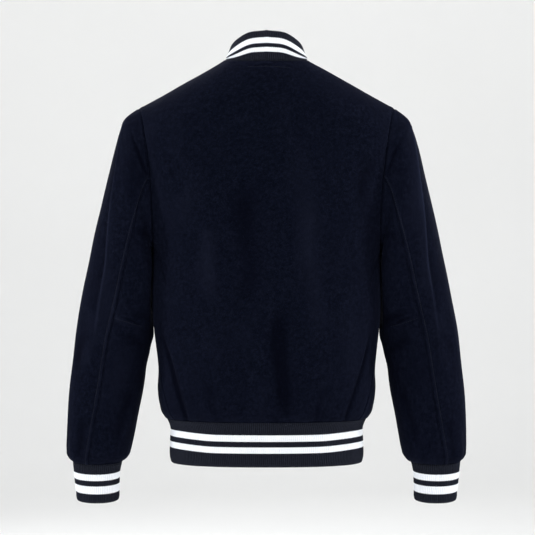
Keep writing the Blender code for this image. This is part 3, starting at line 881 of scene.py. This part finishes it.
def band_profile(height, outer_rows):
    """Down the outside, round the fold and up the inside: share of the height, depth and facing."""
    bend = RIB_WALL / 2
    down = 1 - bend / height
    outer = [(share, 0.0, 0.0) for share in np.linspace(0, down, outer_rows)]
    turns = np.linspace(0, np.pi, FOLD_ROWS + 2)[1:-1]
    fold = [(down + bend / height * math.sin(t), bend * (1 - math.cos(t)), t) for t in turns]
    inner = [(share, RIB_WALL, np.pi) for share in np.linspace(down, 0, 5)]
    return np.array(outer + fold + inner)


def make_band(name, surface, first, last, kind, closed=False, mirror=False, outer_rows=13):
    """A folded band of rib knit: surface gives its outside, by place along it and share of its height."""
    stripes = STRIPES[kind]
    height = sum(stripes) * MM
    place, number = even_places(surface, first, last)
    if closed:
        place, number = place[:-1], number[:-1]
    profile = band_profile(height, outer_rows)
    share, depth, facing = profile.T
    outside = surface(place, share)
    down = np.gradient(surface(place, np.array([0.0, 0.5, 1.0])), axis=0)[1]
    down /= np.linalg.norm(down, axis=-1, keepdims=True)
    if closed:
        along = np.roll(outside, -1, axis=1) - np.roll(outside, 1, axis=1)
    else:
        along = np.gradient(outside, axis=1)
    normal = np.cross(along, down[None])
    normal /= np.linalg.norm(normal, axis=-1, keepdims=True)
    middle = outside.mean(axis=(0, 1))
    if (normal * (outside - middle)).sum(axis=-1).mean() < 0:
        normal = -normal
    rib = RIB_HEIGHT * (2 * np.abs(np.sin(np.pi * number)) ** 0.7 - 1.2)[None]
    rib = rib * (1 + 0.12 * np.sin(number * 0.37)[None]) * eased((share * height / MM + 1.5) / 4)[:, None]
    out = normal * np.cos(facing)[:, None, None] + down[None] * np.sin(facing)[:, None, None]
    points = outside - normal * depth[:, None, None] + out * rib[..., None]
    if mirror:
        points = points * (-1, 1, 1)
    rows, columns = points.shape[:2]
    reach = columns if closed else columns - 1
    faces = []
    for i in range(rows):
        for j in range(reach):
            k, n = (j + 1) % columns, (i + 1) % rows
            faces.append((i * columns + j, i * columns + k, n * columns + k, n * columns + j))
    if not closed:
        faces.append([i * columns for i in range(rows)])
        faces.append([i * columns + columns - 1 for i in range(rows)])
    piece = mesh_piece(name + "_knit", points, faces, [KNIT[kind]])
    mesh = piece.data
    ribs = np.broadcast_to(number, (rows, columns)).reshape(-1)
    rise = np.repeat((share * height / MM)[:, None], columns, axis=1)
    if kind == "hem":
        rise += HEM_SWAY * eased((np.abs(np.sin(place)) - 0.5) / 0.5)[None]
    rise = rise.reshape(-1)
    for title, values in (("rib", ribs), ("from_seam", rise)):
        mark = mesh.attributes.new(title, "FLOAT", "POINT")
        mark.data.foreach_set("value", values.astype(np.float32))
    face_outwards(mesh)
    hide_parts(name)
    return points


def hem_surface(place, share):
    """The hem band's outside, from its left end round the back to its right end, which tucks under."""
    z = blend(HEM_SEAM - 0.3 * MM, HEM_BOTTOM, share)[:, None]
    around, z = np.broadcast_arrays(place[None], z)
    points = hem_point(around, z)
    toward = eased((points[..., 0] + LAP + LAP_SETTLE + 2 * MM) / LAP_SETTLE)
    under = (around < 0) & (points[..., 1] < 0)
    points[..., 1] += np.where(under, (RIB_WALL + LAP_GAP) * toward, 0)
    return points


def cuff_surface(place, share):
    down = (share * sum(STRIPES["cuff"]))[:, None] * MM
    row = {name: read(CUFF, "down", name, down) for name in CUFF if name != "down"}
    lean = math.radians(CUFF_LEAN)
    depth = row["depth"] * np.sin(place)
    x = blend(row["in_x"], row["out_x"], (1 + np.cos(place)) / 2)
    y = row["mid_y"] + depth * math.cos(lean)
    z = CUFF_TOP - 0.4 * MM - down - depth * math.sin(lean)
    return np.stack([x, y, z + 0 * x], axis=-1)


COLLAR_CORNER = 13 * MM
COLLAR_LEAN = 1.4  # over the shoulders the collar lies flatter near its foot


def collar_surface(place, share):
    """The collar's outside from the neckline up, by the angle round the neck from the centre back."""
    turn = np.abs(place)
    behind = turn <= np.pi / 2
    back_x, back_z = neckline("back", np.minimum(turn, np.pi / 2))
    front_x, front_z = neckline("front", np.minimum(np.pi - turn, np.pi / 2))
    foot_x, foot_z = np.where(behind, back_x, front_x), np.where(behind, back_z, front_z)
    angle = np.arcsin(foot_x / read(BODY, "z", "half_width", foot_z))
    foot = body_point(np.where(behind, angle, np.pi - angle), foot_z)
    keys = COLLAR_TOP["angle"]
    head = np.stack([smooth(keys, COLLAR_TOP[c], np.degrees(turn)) * MM for c in "xyz"], axis=-1)
    sides = np.stack([np.sign(place), np.ones_like(place), np.ones_like(place)], axis=-1)
    foot, head = foot * sides, head * sides
    from_end = np.clip((np.pi - turn) * NECK_HALF, 0, COLLAR_CORNER)
    cut = COLLAR_CORNER - np.sqrt(COLLAR_CORNER**2 - (COLLAR_CORNER - from_end) ** 2)
    up = share[:, None] * (1 - cut / (sum(STRIPES["collar"]) * MM))[None]
    points = blend(foot[None], head[None], up[..., None])
    leaning = eased((np.degrees(turn) - 15) / 75) * eased((180 - np.degrees(turn)) / 60)
    points[..., 2] = blend(foot[..., 2], head[..., 2], up ** (1 + COLLAR_LEAN * leaning))
    outward = np.cross(np.gradient(points, axis=1), (head - foot)[None])
    outward /= np.maximum(np.linalg.norm(outward, axis=-1, keepdims=True), 1e-12)
    away = points - points.mean(axis=(0, 1))
    outward *= np.sign((outward * away).sum(axis=-1).mean())
    return points + outward * (COLLAR_SWELL * np.sin(np.pi * up))[..., None]


def make_bands():
    edge = math.asin(LAP / (HEM_BAND["half_width"][0] * MM))
    make_band("hem_band", hem_surface, np.pi + edge, -np.pi - edge, "hem", outer_rows=11)
    for side in ("left", "right"):
        name = "cuff_" + side
        make_band(name, cuff_surface, 0, 2 * np.pi, "cuff", closed=True, mirror=side == "right")
    end = math.asin(COLLAR_GAP / NECK_HALF)
    make_band("collar", collar_surface, np.pi - end, end - np.pi, "collar", outer_rows=15)


# ---------------------------------------------------------------- stitches and snaps

STITCH_LENGTH = 2.7 * MM
STITCH_PITCH = 3.6 * MM
THREAD_RADIUS = 0.28 * MM
THREAD_SIDES = 5
# The rings of one stitch: share of its length, swell and lift, in radii of the thread.
THREAD_RINGS = ((0.0, 0.45, -0.2), (0.22, 1.0, 0.1), (0.78, 1.0, 0.1), (1.0, 0.45, -0.2))


def along_edge(grid, side, offset):
    """A line of points a distance in from a grid's first or last column, with the normals there."""
    normal = normals_of(grid)
    if side == "last":
        grid, normal = grid[:, ::-1], normal[:, ::-1]
    points, normals = [], []
    for row, facing in zip(grid, normal):
        run = run_along(row)
        points.append([np.interp(offset, run, row[:, k]) for k in range(3)])
        normals.append([np.interp(offset, run, facing[:, k]) for k in range(3)])
    return np.array(points), np.array(normals)


def on_grid(grid, line):
    """A line laid on a finished grid: for each of its points the nearest of the grid's, and the normal."""
    flat = grid.reshape(-1, 3)
    normal = normals_of(grid).reshape(-1, 3)
    tree = tree_of(flat)
    points, normals = [], []
    for point in line.tolist():
        near = tree.find_n(point, 4)
        weight = np.array([1 / (far + 1e-5) for _, _, far in near])
        at = [number for _, number, _ in near]
        facing = (normal[at] * weight[:, None]).sum(axis=0)
        facing /= np.linalg.norm(facing)
        level = ((flat[at] - point) @ facing * weight).sum() / weight.sum()
        points.append(np.array(point) + facing * level)
        normals.append(facing)
    return np.array(points), np.array(normals)


def place_on(run, line, at):
    """The point a distance along a line."""
    return np.array([np.interp(at, run, line[:, k]) for k in range(3)])


def stitch_row(line, normals):
    """Points and faces of a row of short rounded threads along a line."""
    run = run_along(line)
    starts = np.arange(STITCH_PITCH, run[-1] - STITCH_PITCH, STITCH_PITCH)
    angles = np.arange(THREAD_SIDES) / THREAD_SIDES * 2 * np.pi
    points, faces = [], []
    for start in starts:
        first = len(points)
        ends = [place_on(run, line, at) for at in (start, start + STITCH_LENGTH)]
        facing = place_on(run, normals, start)
        way = (ends[1] - ends[0]) / np.linalg.norm(ends[1] - ends[0])
        aside = np.cross(facing, way)
        for share, swell, lift in THREAD_RINGS:
            centre = blend(ends[0], ends[1], share) + facing * lift * THREAD_RADIUS
            for turn in angles:
                out = math.cos(turn) * aside + math.sin(turn) * facing
                points.append(centre + THREAD_RADIUS * swell * out)
        faces += ring_faces(len(THREAD_RINGS), THREAD_SIDES, first)
        faces.append(tuple(range(first, first + THREAD_SIDES))[::-1])
        last = first + (len(THREAD_RINGS) - 1) * THREAD_SIDES
        faces.append(tuple(range(last, last + THREAD_SIDES)))
    return points, faces


def make_stitches(back, fronts, sleeves):
    rows = {"sleeves": [], "front": [], "neck": []}
    dart = line_through(sleeve_spot, DART, 80)
    for side, sign in (("left", 1), ("right", -1)):
        top = sleeves["top_sleeve_" + side]
        rows["sleeves"].append(along_edge(top, "last" if sign > 0 else "first", ALLOWANCE))
        under = sleeves["under_sleeve_" + side]
        rows["sleeves"].append(on_grid(under, (dart + (0, 0, DART_STITCH)) * (sign, 1, 1)))
    rows["front"].append(along_edge(fronts["left"], "first", ALLOWANCE))
    rows["neck"].append(on_grid(back, line_through(back_spot, NECK_TAPE, 80)))
    for name, lines in rows.items():
        points, faces = [], []
        for line, normals in lines:
            more, sides = stitch_row(line, normals)
            faces += [tuple(k + len(points) for k in face) for face in sides]
            points += more
        piece = mesh_piece("stitches_" + name, np.array(points), faces, [THREAD])


def turned(name, profile, material, place, tilt):
    """A round piece turned from a profile of (radius, height), on the cloth at a place."""
    sides = 48
    turn = np.arange(sides) / sides * 2 * np.pi
    points = []
    for radius, height in profile:
        for t in turn:
            points.append((radius * math.cos(t), radius * math.sin(t), height))
    faces = ring_faces(len(profile), sides)
    faces.append(tuple(range(sides))[::-1])
    faces.append(tuple(range((len(profile) - 1) * sides, len(profile) * sides)))
    piece = mesh_piece(name, np.array(points), faces, [material])
    piece.rotation_euler = (tilt, 0, 0)
    piece.location = place
    face_outwards(piece.data)
    return piece


def make_snaps():
    """Each snap: a rolled metal rim round a shallow enamelled dome."""
    roll = 0.9 * MM
    rim = []
    for t in np.linspace(-0.5 * np.pi, np.pi, 13):
        rim.append((SNAP_RADIUS - roll + roll * math.cos(t), roll + roll * math.sin(t)))
    rim = [(SNAP_RADIUS - 2.2 * MM, 0.0)] + rim + [(SNAP_RADIUS - 2.2 * MM, 0.7 * MM)]
    dome = [(SNAP_RADIUS - 1.7 * MM, 0.6 * MM)]
    for share in np.linspace(0, 1, 12)[:-1]:
        bend = share * np.pi / 2
        risen = 1.1 * MM + (SNAP_HEIGHT - 1.2 * MM) * math.sin(bend)
        dome.append(((SNAP_RADIUS - 1.6 * MM) * math.cos(bend), risen))
    dome.append((0.25 * MM, SNAP_HEIGHT - 0.1 * MM))
    for number, level in enumerate(SNAP_LEVELS, start=1):
        z = level * MM
        on = hem_point if z < HEM_SEAM else body_point
        here = on(np.array(np.pi), np.array(z))
        slope = np.diff(on(np.full(2, np.pi), z + SNAP_RADIUS * np.array((-1, 1))), axis=0)[0]
        tilt = math.pi / 2 - math.atan2(slope[1], slope[2])
        place = Vector((0, float(here[1]) - SNAP_GAP / 2, z))
        cap = turned(f"snap_cap_{number}", dome, ENAMEL, place, tilt)
        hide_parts(f"snap_{number}")
        turned(f"snap_rim_{number}", rim, RIM_METAL, place, tilt)


# ---------------------------------------------------------------- materials


class Nodes:
    """A short way to build a material's nodes."""

    def __init__(self, name):
        self.material = bpy.data.materials.new(name)
        self.material.use_nodes = True
        self.tree = self.material.node_tree
        self.shader = self.tree.nodes["Principled BSDF"]

    def link(self, source, target):
        self.tree.links.new(source, target)

    def node(self, kind, **settings):
        made = self.tree.nodes.new(kind)
        for key, value in settings.items():
            setattr(made, key, value)
        return made

    def object_coordinates(self):
        return self.node("ShaderNodeTexCoord").outputs["Object"]

    def attribute(self, name):
        return self.node("ShaderNodeAttribute", attribute_name=name).outputs["Fac"]

    def noise(self, scale, detail=2.0, rough=0.5, vector=None):
        made = self.node("ShaderNodeTexNoise")
        made.inputs["Scale"].default_value = scale
        made.inputs["Detail"].default_value = detail
        made.inputs["Roughness"].default_value = rough
        self.link(vector or self.object_coordinates(), made.inputs["Vector"])
        return made.outputs["Fac"]

    def math(self, operation, a, b=0.0, clamp=False):
        made = self.node("ShaderNodeMath", operation=operation, use_clamp=clamp)
        for socket, value in zip(made.inputs, (a, b)):
            if isinstance(value, (int, float)):
                socket.default_value = value
            else:
                self.link(value, socket)
        return made.outputs[0]

    def ramp(self, value, stops, interpolation="LINEAR"):
        made = self.node("ShaderNodeValToRGB")
        made.color_ramp.interpolation = interpolation
        elements = made.color_ramp.elements
        while len(elements) < len(stops):
            elements.new(0.5)
        for element, (position, colour) in zip(elements, stops):
            element.position = position
            element.color = (*colour, 1)
        self.link(value, made.inputs["Fac"])
        return made.outputs["Color"]

    def mix(self, share, a, b, kind="MIX"):
        made = self.node("ShaderNodeMix", data_type="RGBA", blend_type=kind)
        for socket, value in zip((made.inputs["Factor"], made.inputs["A"], made.inputs["B"]), (share, a, b)):
            if isinstance(value, (int, float)):
                socket.default_value = value
            elif isinstance(value, tuple):
                socket.default_value = (*value, 1)
            else:
                self.link(value, socket)
        return made.outputs["Result"]

    def map(self, value, low, high, to_low=0.0, to_high=1.0):
        made = self.node("ShaderNodeMapRange")
        for key, number in (("From Min", low), ("From Max", high), ("To Min", to_low), ("To Max", to_high)):
            made.inputs[key].default_value = number
        self.link(value, made.inputs["Value"])
        return made.outputs["Result"]

    def bump(self, height, distance, strength=1.0, under=None):
        made = self.node("ShaderNodeBump")
        made.inputs["Distance"].default_value = distance
        made.inputs["Strength"].default_value = strength
        self.link(height, made.inputs["Height"])
        if under is not None:
            self.link(under, made.inputs["Normal"])
        return made.outputs["Normal"]

    def set(self, **values):
        """Sets the shader's own sockets, named in lower case with low lines for spaces."""
        sockets = {socket.name.lower().replace(" ", "_"): socket for socket in self.shader.inputs}
        for key, value in values.items():
            sockets[key].default_value = value


def wool_material():
    """Brushed melton: two close navies in a fine felted mottle, a short nap and a cool sheen, with a painted
    highlight on raised cloth and painted shade in its hollows.
    """
    made = Nodes("navy_wool")
    flecks = made.noise(620, 3, 0.65)
    clumps = made.noise(170, 3, 0.6)
    broad = made.noise(16, 2, 0.5)
    mottle = made.math("ADD", made.math("MULTIPLY", flecks, 0.6), made.math("MULTIPLY", clumps, 0.4))
    colour = made.ramp(mottle, ((0.38, WOOL_DARK), (0.5, WOOL_MIDDLE), (0.62, WOOL_LIGHT)))
    colour = made.mix(made.map(broad, 0.3, 0.7, 0.0, 0.35), colour, WOOL_MIDDLE)
    # Painted highlight: cloth raised by the relief is mixed toward the lighter navy.
    raised_highlight = made.map(made.attribute("rise"), 0.2, 1.6, 0.0, 0.5)
    colour = made.mix(raised_highlight, colour, WOOL_LIGHT)
    # Painted highlight: the highest crests, such as the pressed sleeve edge, are mixed toward a still
    # lighter navy.
    edge = made.map(made.attribute("rise"), 1.4, 3.2, 0.0, 0.5)
    colour = made.mix(edge, colour, WOOL_CREST_HIGHLIGHT)
    # Painted shade: seam valleys, creases and the allowance rolls are mixed toward the darkest navy.
    valley_shade = made.map(made.attribute("rise"), -0.4, -2.2, 0.0, 0.85)
    colour = made.mix(valley_shade, colour, WOOL_DARK)
    made.link(colour, made.shader.inputs["Base Color"])
    made.set(roughness=0.95, sheen_weight=0.02, sheen_roughness=0.4, sheen_tint=(0.34, 0.42, 0.85, 1))
    made.set(specular_ior_level=0.015)
    nap = made.bump(made.noise(1400, 2, 0.7), 0.25 * MM, 0.55)
    felt = made.bump(made.noise(430, 3, 0.6), 0.5 * MM, 0.5, nap)
    made.link(felt, made.shader.inputs["Normal"])
    return made.material


KNIT_COURSE = 1.35  # height of a row of stitches in the rib, in millimetres


def knit_material(kind):
    """Rib knit: a V of yarn for each stitch, white stripes knitted in, painted shade between the ribs."""
    made = Nodes("rib_knit_" + kind)
    stripes = STRIPES[kind]
    rib = made.attribute("rib")
    from_seam = made.attribute("from_seam")
    across = made.math("FRACT", rib)
    lean = made.math("ABSOLUTE", made.math("SUBTRACT", across, 0.5))
    zigzag = made.math("MULTIPLY", lean, 1.3)
    height = made.math("DIVIDE", made.math("ADD", from_seam, zigzag), sum(stripes))
    stops = []
    edge = 0.0
    for number, tall in enumerate(stripes):
        stops.append((edge, (1, 1, 1) if number % 2 else (0, 0, 0)))
        edge += tall / sum(stripes)
    white = made.ramp(height, stops, "CONSTANT")
    leg = made.math("ADD", from_seam, made.math("MULTIPLY", lean, 1.8))
    stitch = made.math("SINE", made.math("MULTIPLY", leg, 2 * math.pi / KNIT_COURSE))
    hollow = made.math("SUBTRACT", 0.5, lean)
    # Painted shade: the navy and the white stripes are darkened in the grooves between the ribs.
    groove_shading = made.map(made.math("MULTIPLY", hollow, 2.0), 0.12, 0.62)
    fleck = made.noise(900, 2, 0.6)
    navy = made.mix(groove_shading, RIB_GROOVE_SHADE, made.mix(made.map(fleck, 0.35, 0.65), RIB_NAVY, RIB_LIGHT))
    pale = made.mix(made.map(groove_shading, 0, 1, 0.55, 1.0), RIB_SHADE, RIB_WHITE)
    made.link(made.mix(white, navy, pale), made.shader.inputs["Base Color"])
    made.set(roughness=0.9, sheen_weight=0.03, sheen_roughness=0.4, sheen_tint=(0.5, 0.56, 0.8, 1))
    made.set(specular_ior_level=0.1)
    fuzz = made.bump(made.noise(1800, 2, 0.6), 0.15 * MM, 0.5)
    made.link(made.bump(stitch, 0.28 * MM, 0.8, fuzz), made.shader.inputs["Normal"])
    return made.material


def thread_material():
    made = Nodes("thread")
    made.link(made.mix(made.noise(2500), THREAD_NAVY, WOOL_LIGHT), made.shader.inputs["Base Color"])
    made.set(roughness=0.6, specular_ior_level=0.15)
    twist = made.noise(3500, 1, 0.5)
    made.link(made.bump(twist, 0.1 * MM, 0.6), made.shader.inputs["Normal"])
    return made.material


def enamel_material():
    made = Nodes("snap_enamel")
    tone = made.mix(made.noise(240, 2, 0.5), (0.80, 0.80, 0.77), (0.86, 0.86, 0.84))
    made.link(tone, made.shader.inputs["Base Color"])
    made.set(roughness=0.22, coat_weight=0.6, coat_roughness=0.08)
    made.link(made.bump(made.noise(420, 2, 0.5), 0.05 * MM, 0.25), made.shader.inputs["Normal"])
    return made.material


def metal_material():
    made = Nodes("snap_metal")
    tone = made.mix(made.noise(500), (0.52, 0.52, 0.54), (0.66, 0.66, 0.67))
    made.link(tone, made.shader.inputs["Base Color"])
    made.link(made.map(made.noise(900, 3, 0.6), 0.3, 0.7, 0.18, 0.34), made.shader.inputs["Roughness"])
    made.set(metallic=1.0)
    return made.material


# WOOL_DARK and WOOL_LIGHT are the ends of the mottle; they also serve as the painted shade and the painted
# highlight.
WOOL_DARK = (0.0009, 0.0012, 0.0034)
WOOL_MIDDLE = (0.0019, 0.0026, 0.0064)
WOOL_LIGHT = (0.0048, 0.0060, 0.0125)
# A painted highlight colour for the wool's highest crests.
WOOL_CREST_HIGHLIGHT = (0.013, 0.016, 0.031)
THREAD_NAVY = (0.0045, 0.006, 0.012)
RIB_GROOVE_SHADE = (0.0015, 0.0020, 0.0036)
# Painted shade colour for the grooves of the navy rib knit.
RIB_NAVY = (0.0055, 0.0068, 0.0125)
RIB_LIGHT = (0.0120, 0.0142, 0.0235)
RIB_WHITE = (0.88, 0.90, 0.92)
RIB_SHADE = (0.52, 0.55, 0.62)


# ---------------------------------------------------------------- stage, lights and camera

FLOOR = -1.45
ROOM = 6.5
ROOM_BEND = 3.0


def make_stage():
    """A wide pale floor that curves up into a wall all round, far outside every view."""
    profile = [(0.0, FLOOR), (ROOM * 0.5, FLOOR), (ROOM, FLOOR)]
    for turn in np.linspace(0, np.pi / 2, 17)[1:]:
        profile.append((ROOM + ROOM_BEND * math.sin(turn), FLOOR + ROOM_BEND * (1 - math.cos(turn))))
    profile.append((ROOM + ROOM_BEND, FLOOR + 2.6 * ROOM_BEND))
    sides = 96
    turn = np.arange(sides) / sides * 2 * np.pi
    circle = np.stack([np.cos(turn), np.sin(turn), np.zeros(sides)], axis=-1)
    rings = [radius * circle + (0, 0, z) for radius, z in profile[1:]]
    points = np.concatenate([[[0, 0, FLOOR]], *rings])
    faces = [(0, 1 + j, 1 + (j + 1) % sides) for j in range(sides)]
    for i in range(len(rings) - 1):
        base = 1 + i * sides
        for j in range(sides):
            k = (j + 1) % sides
            faces.append((base + j, base + sides + j, base + sides + k, base + k))
    mesh = bpy.data.meshes.new("backdrop")
    mesh.from_pydata(points.tolist(), [], faces)
    mesh.shade_smooth()
    made = Nodes("backdrop")
    tone = made.mix(made.noise(0.8, 2, 0.5), (0.80, 0.80, 0.79), (0.84, 0.84, 0.83))
    made.link(tone, made.shader.inputs["Base Color"])
    made.set(roughness=0.95, specular_ior_level=0.1)
    mesh.materials.append(made.material)
    room = bpy.data.objects.new("backdrop", mesh)
    bpy.context.scene.collection.objects.link(room)


def make_light(name, place, aim, size, power, colour):
    lamp = bpy.data.lights.new(name, "AREA")
    lamp.shape = "RECTANGLE"
    lamp.size, lamp.size_y = size
    lamp.energy = power
    lamp.color = colour
    light = bpy.data.objects.new(name, lamp)
    light.location = place
    light.rotation_euler = (Vector(aim) - Vector(place)).to_track_quat("-Z", "Y").to_euler()
    bpy.context.scene.collection.objects.link(light)


MIDDLE = (0, 0, -0.33)
COOL = (0.86, 0.89, 1.0)

# Each lamp: name, place, what it is aimed at, size, watts and colour.
LAMPS = (
    ("key", (-1.8, 3.6, 1.6), MIDDLE, (1.8, 1.8), 88, (1, 1, 1)),
    ("fill", (2.2, 3.4, 0.6), MIDDLE, (1.8, 1.8), 62, (1, 1, 1)),
    ("front_key", (1.6, -3.6, 1.8), MIDDLE, (1.8, 1.8), 80, (1, 1, 1)),
    ("front_fill", (-2.2, -3.2, 0.4), MIDDLE, (1.8, 1.8), 50, (1, 1, 1)),
    ("left_strip", (2.9, -0.35, 0.7), MIDDLE, (0.3, 2.2), 90, COOL),
    ("right_strip", (-2.9, -0.35, 0.7), MIDDLE, (0.3, 2.2), 90, COOL),
    ("top", (0, 0, 3.2), MIDDLE, (2.4, 1.0), 28, (1, 1, 1)),
    ("back_wash", (0, -4.0, 3.2), (0, -9.5, -0.6), (4.0, 1.0), 150, (1, 1, 1)),
    ("front_wash", (0, 4.0, 3.2), (0, 9.5, -0.6), (4.0, 1.0), 150, (1, 1, 1)),
)


def make_lights():
    """The lamps, and a low even light from all round."""
    for lamp in LAMPS:
        make_light(*lamp)
    world = bpy.data.worlds.new("studio")
    bpy.context.scene.world = world
    world.use_nodes = True
    sky = world.node_tree.nodes["Background"].inputs
    sky["Color"].default_value = (0.95, 0.97, 1.0, 1)
    sky["Strength"].default_value = 0.3


CAMERA_PLACE = (-0.0015, 3.3, -0.349)
CAMERA_LENS = 133.8


def make_camera():
    """Behind the jacket, level with its middle, looking straight at it."""
    lens = bpy.data.cameras.new("camera")
    lens.sensor_width = 36
    lens.lens = CAMERA_LENS
    camera = bpy.data.objects.new("camera", lens)
    camera.location = CAMERA_PLACE
    camera.rotation_euler = (math.pi / 2, 0, math.pi)
    bpy.context.scene.collection.objects.link(camera)
    bpy.context.scene.camera = camera
    bpy.context.scene.view_settings.view_transform = "Standard"


# ---------------------------------------------------------------- the jacket

WOOL = wool_material()
KNIT = {kind: knit_material(kind) for kind in STRIPES}
THREAD = thread_material()
ENAMEL = enamel_material()
RIM_METAL = metal_material()

seams = seam_lines()
back = make_back(seams)
fronts = make_fronts(seams)
sleeves = make_sleeves(seams)
make_allowances(seams)
make_bands()
make_stitches(back, fronts, sleeves)
make_snaps()
make_stage()
make_lights()
make_camera()
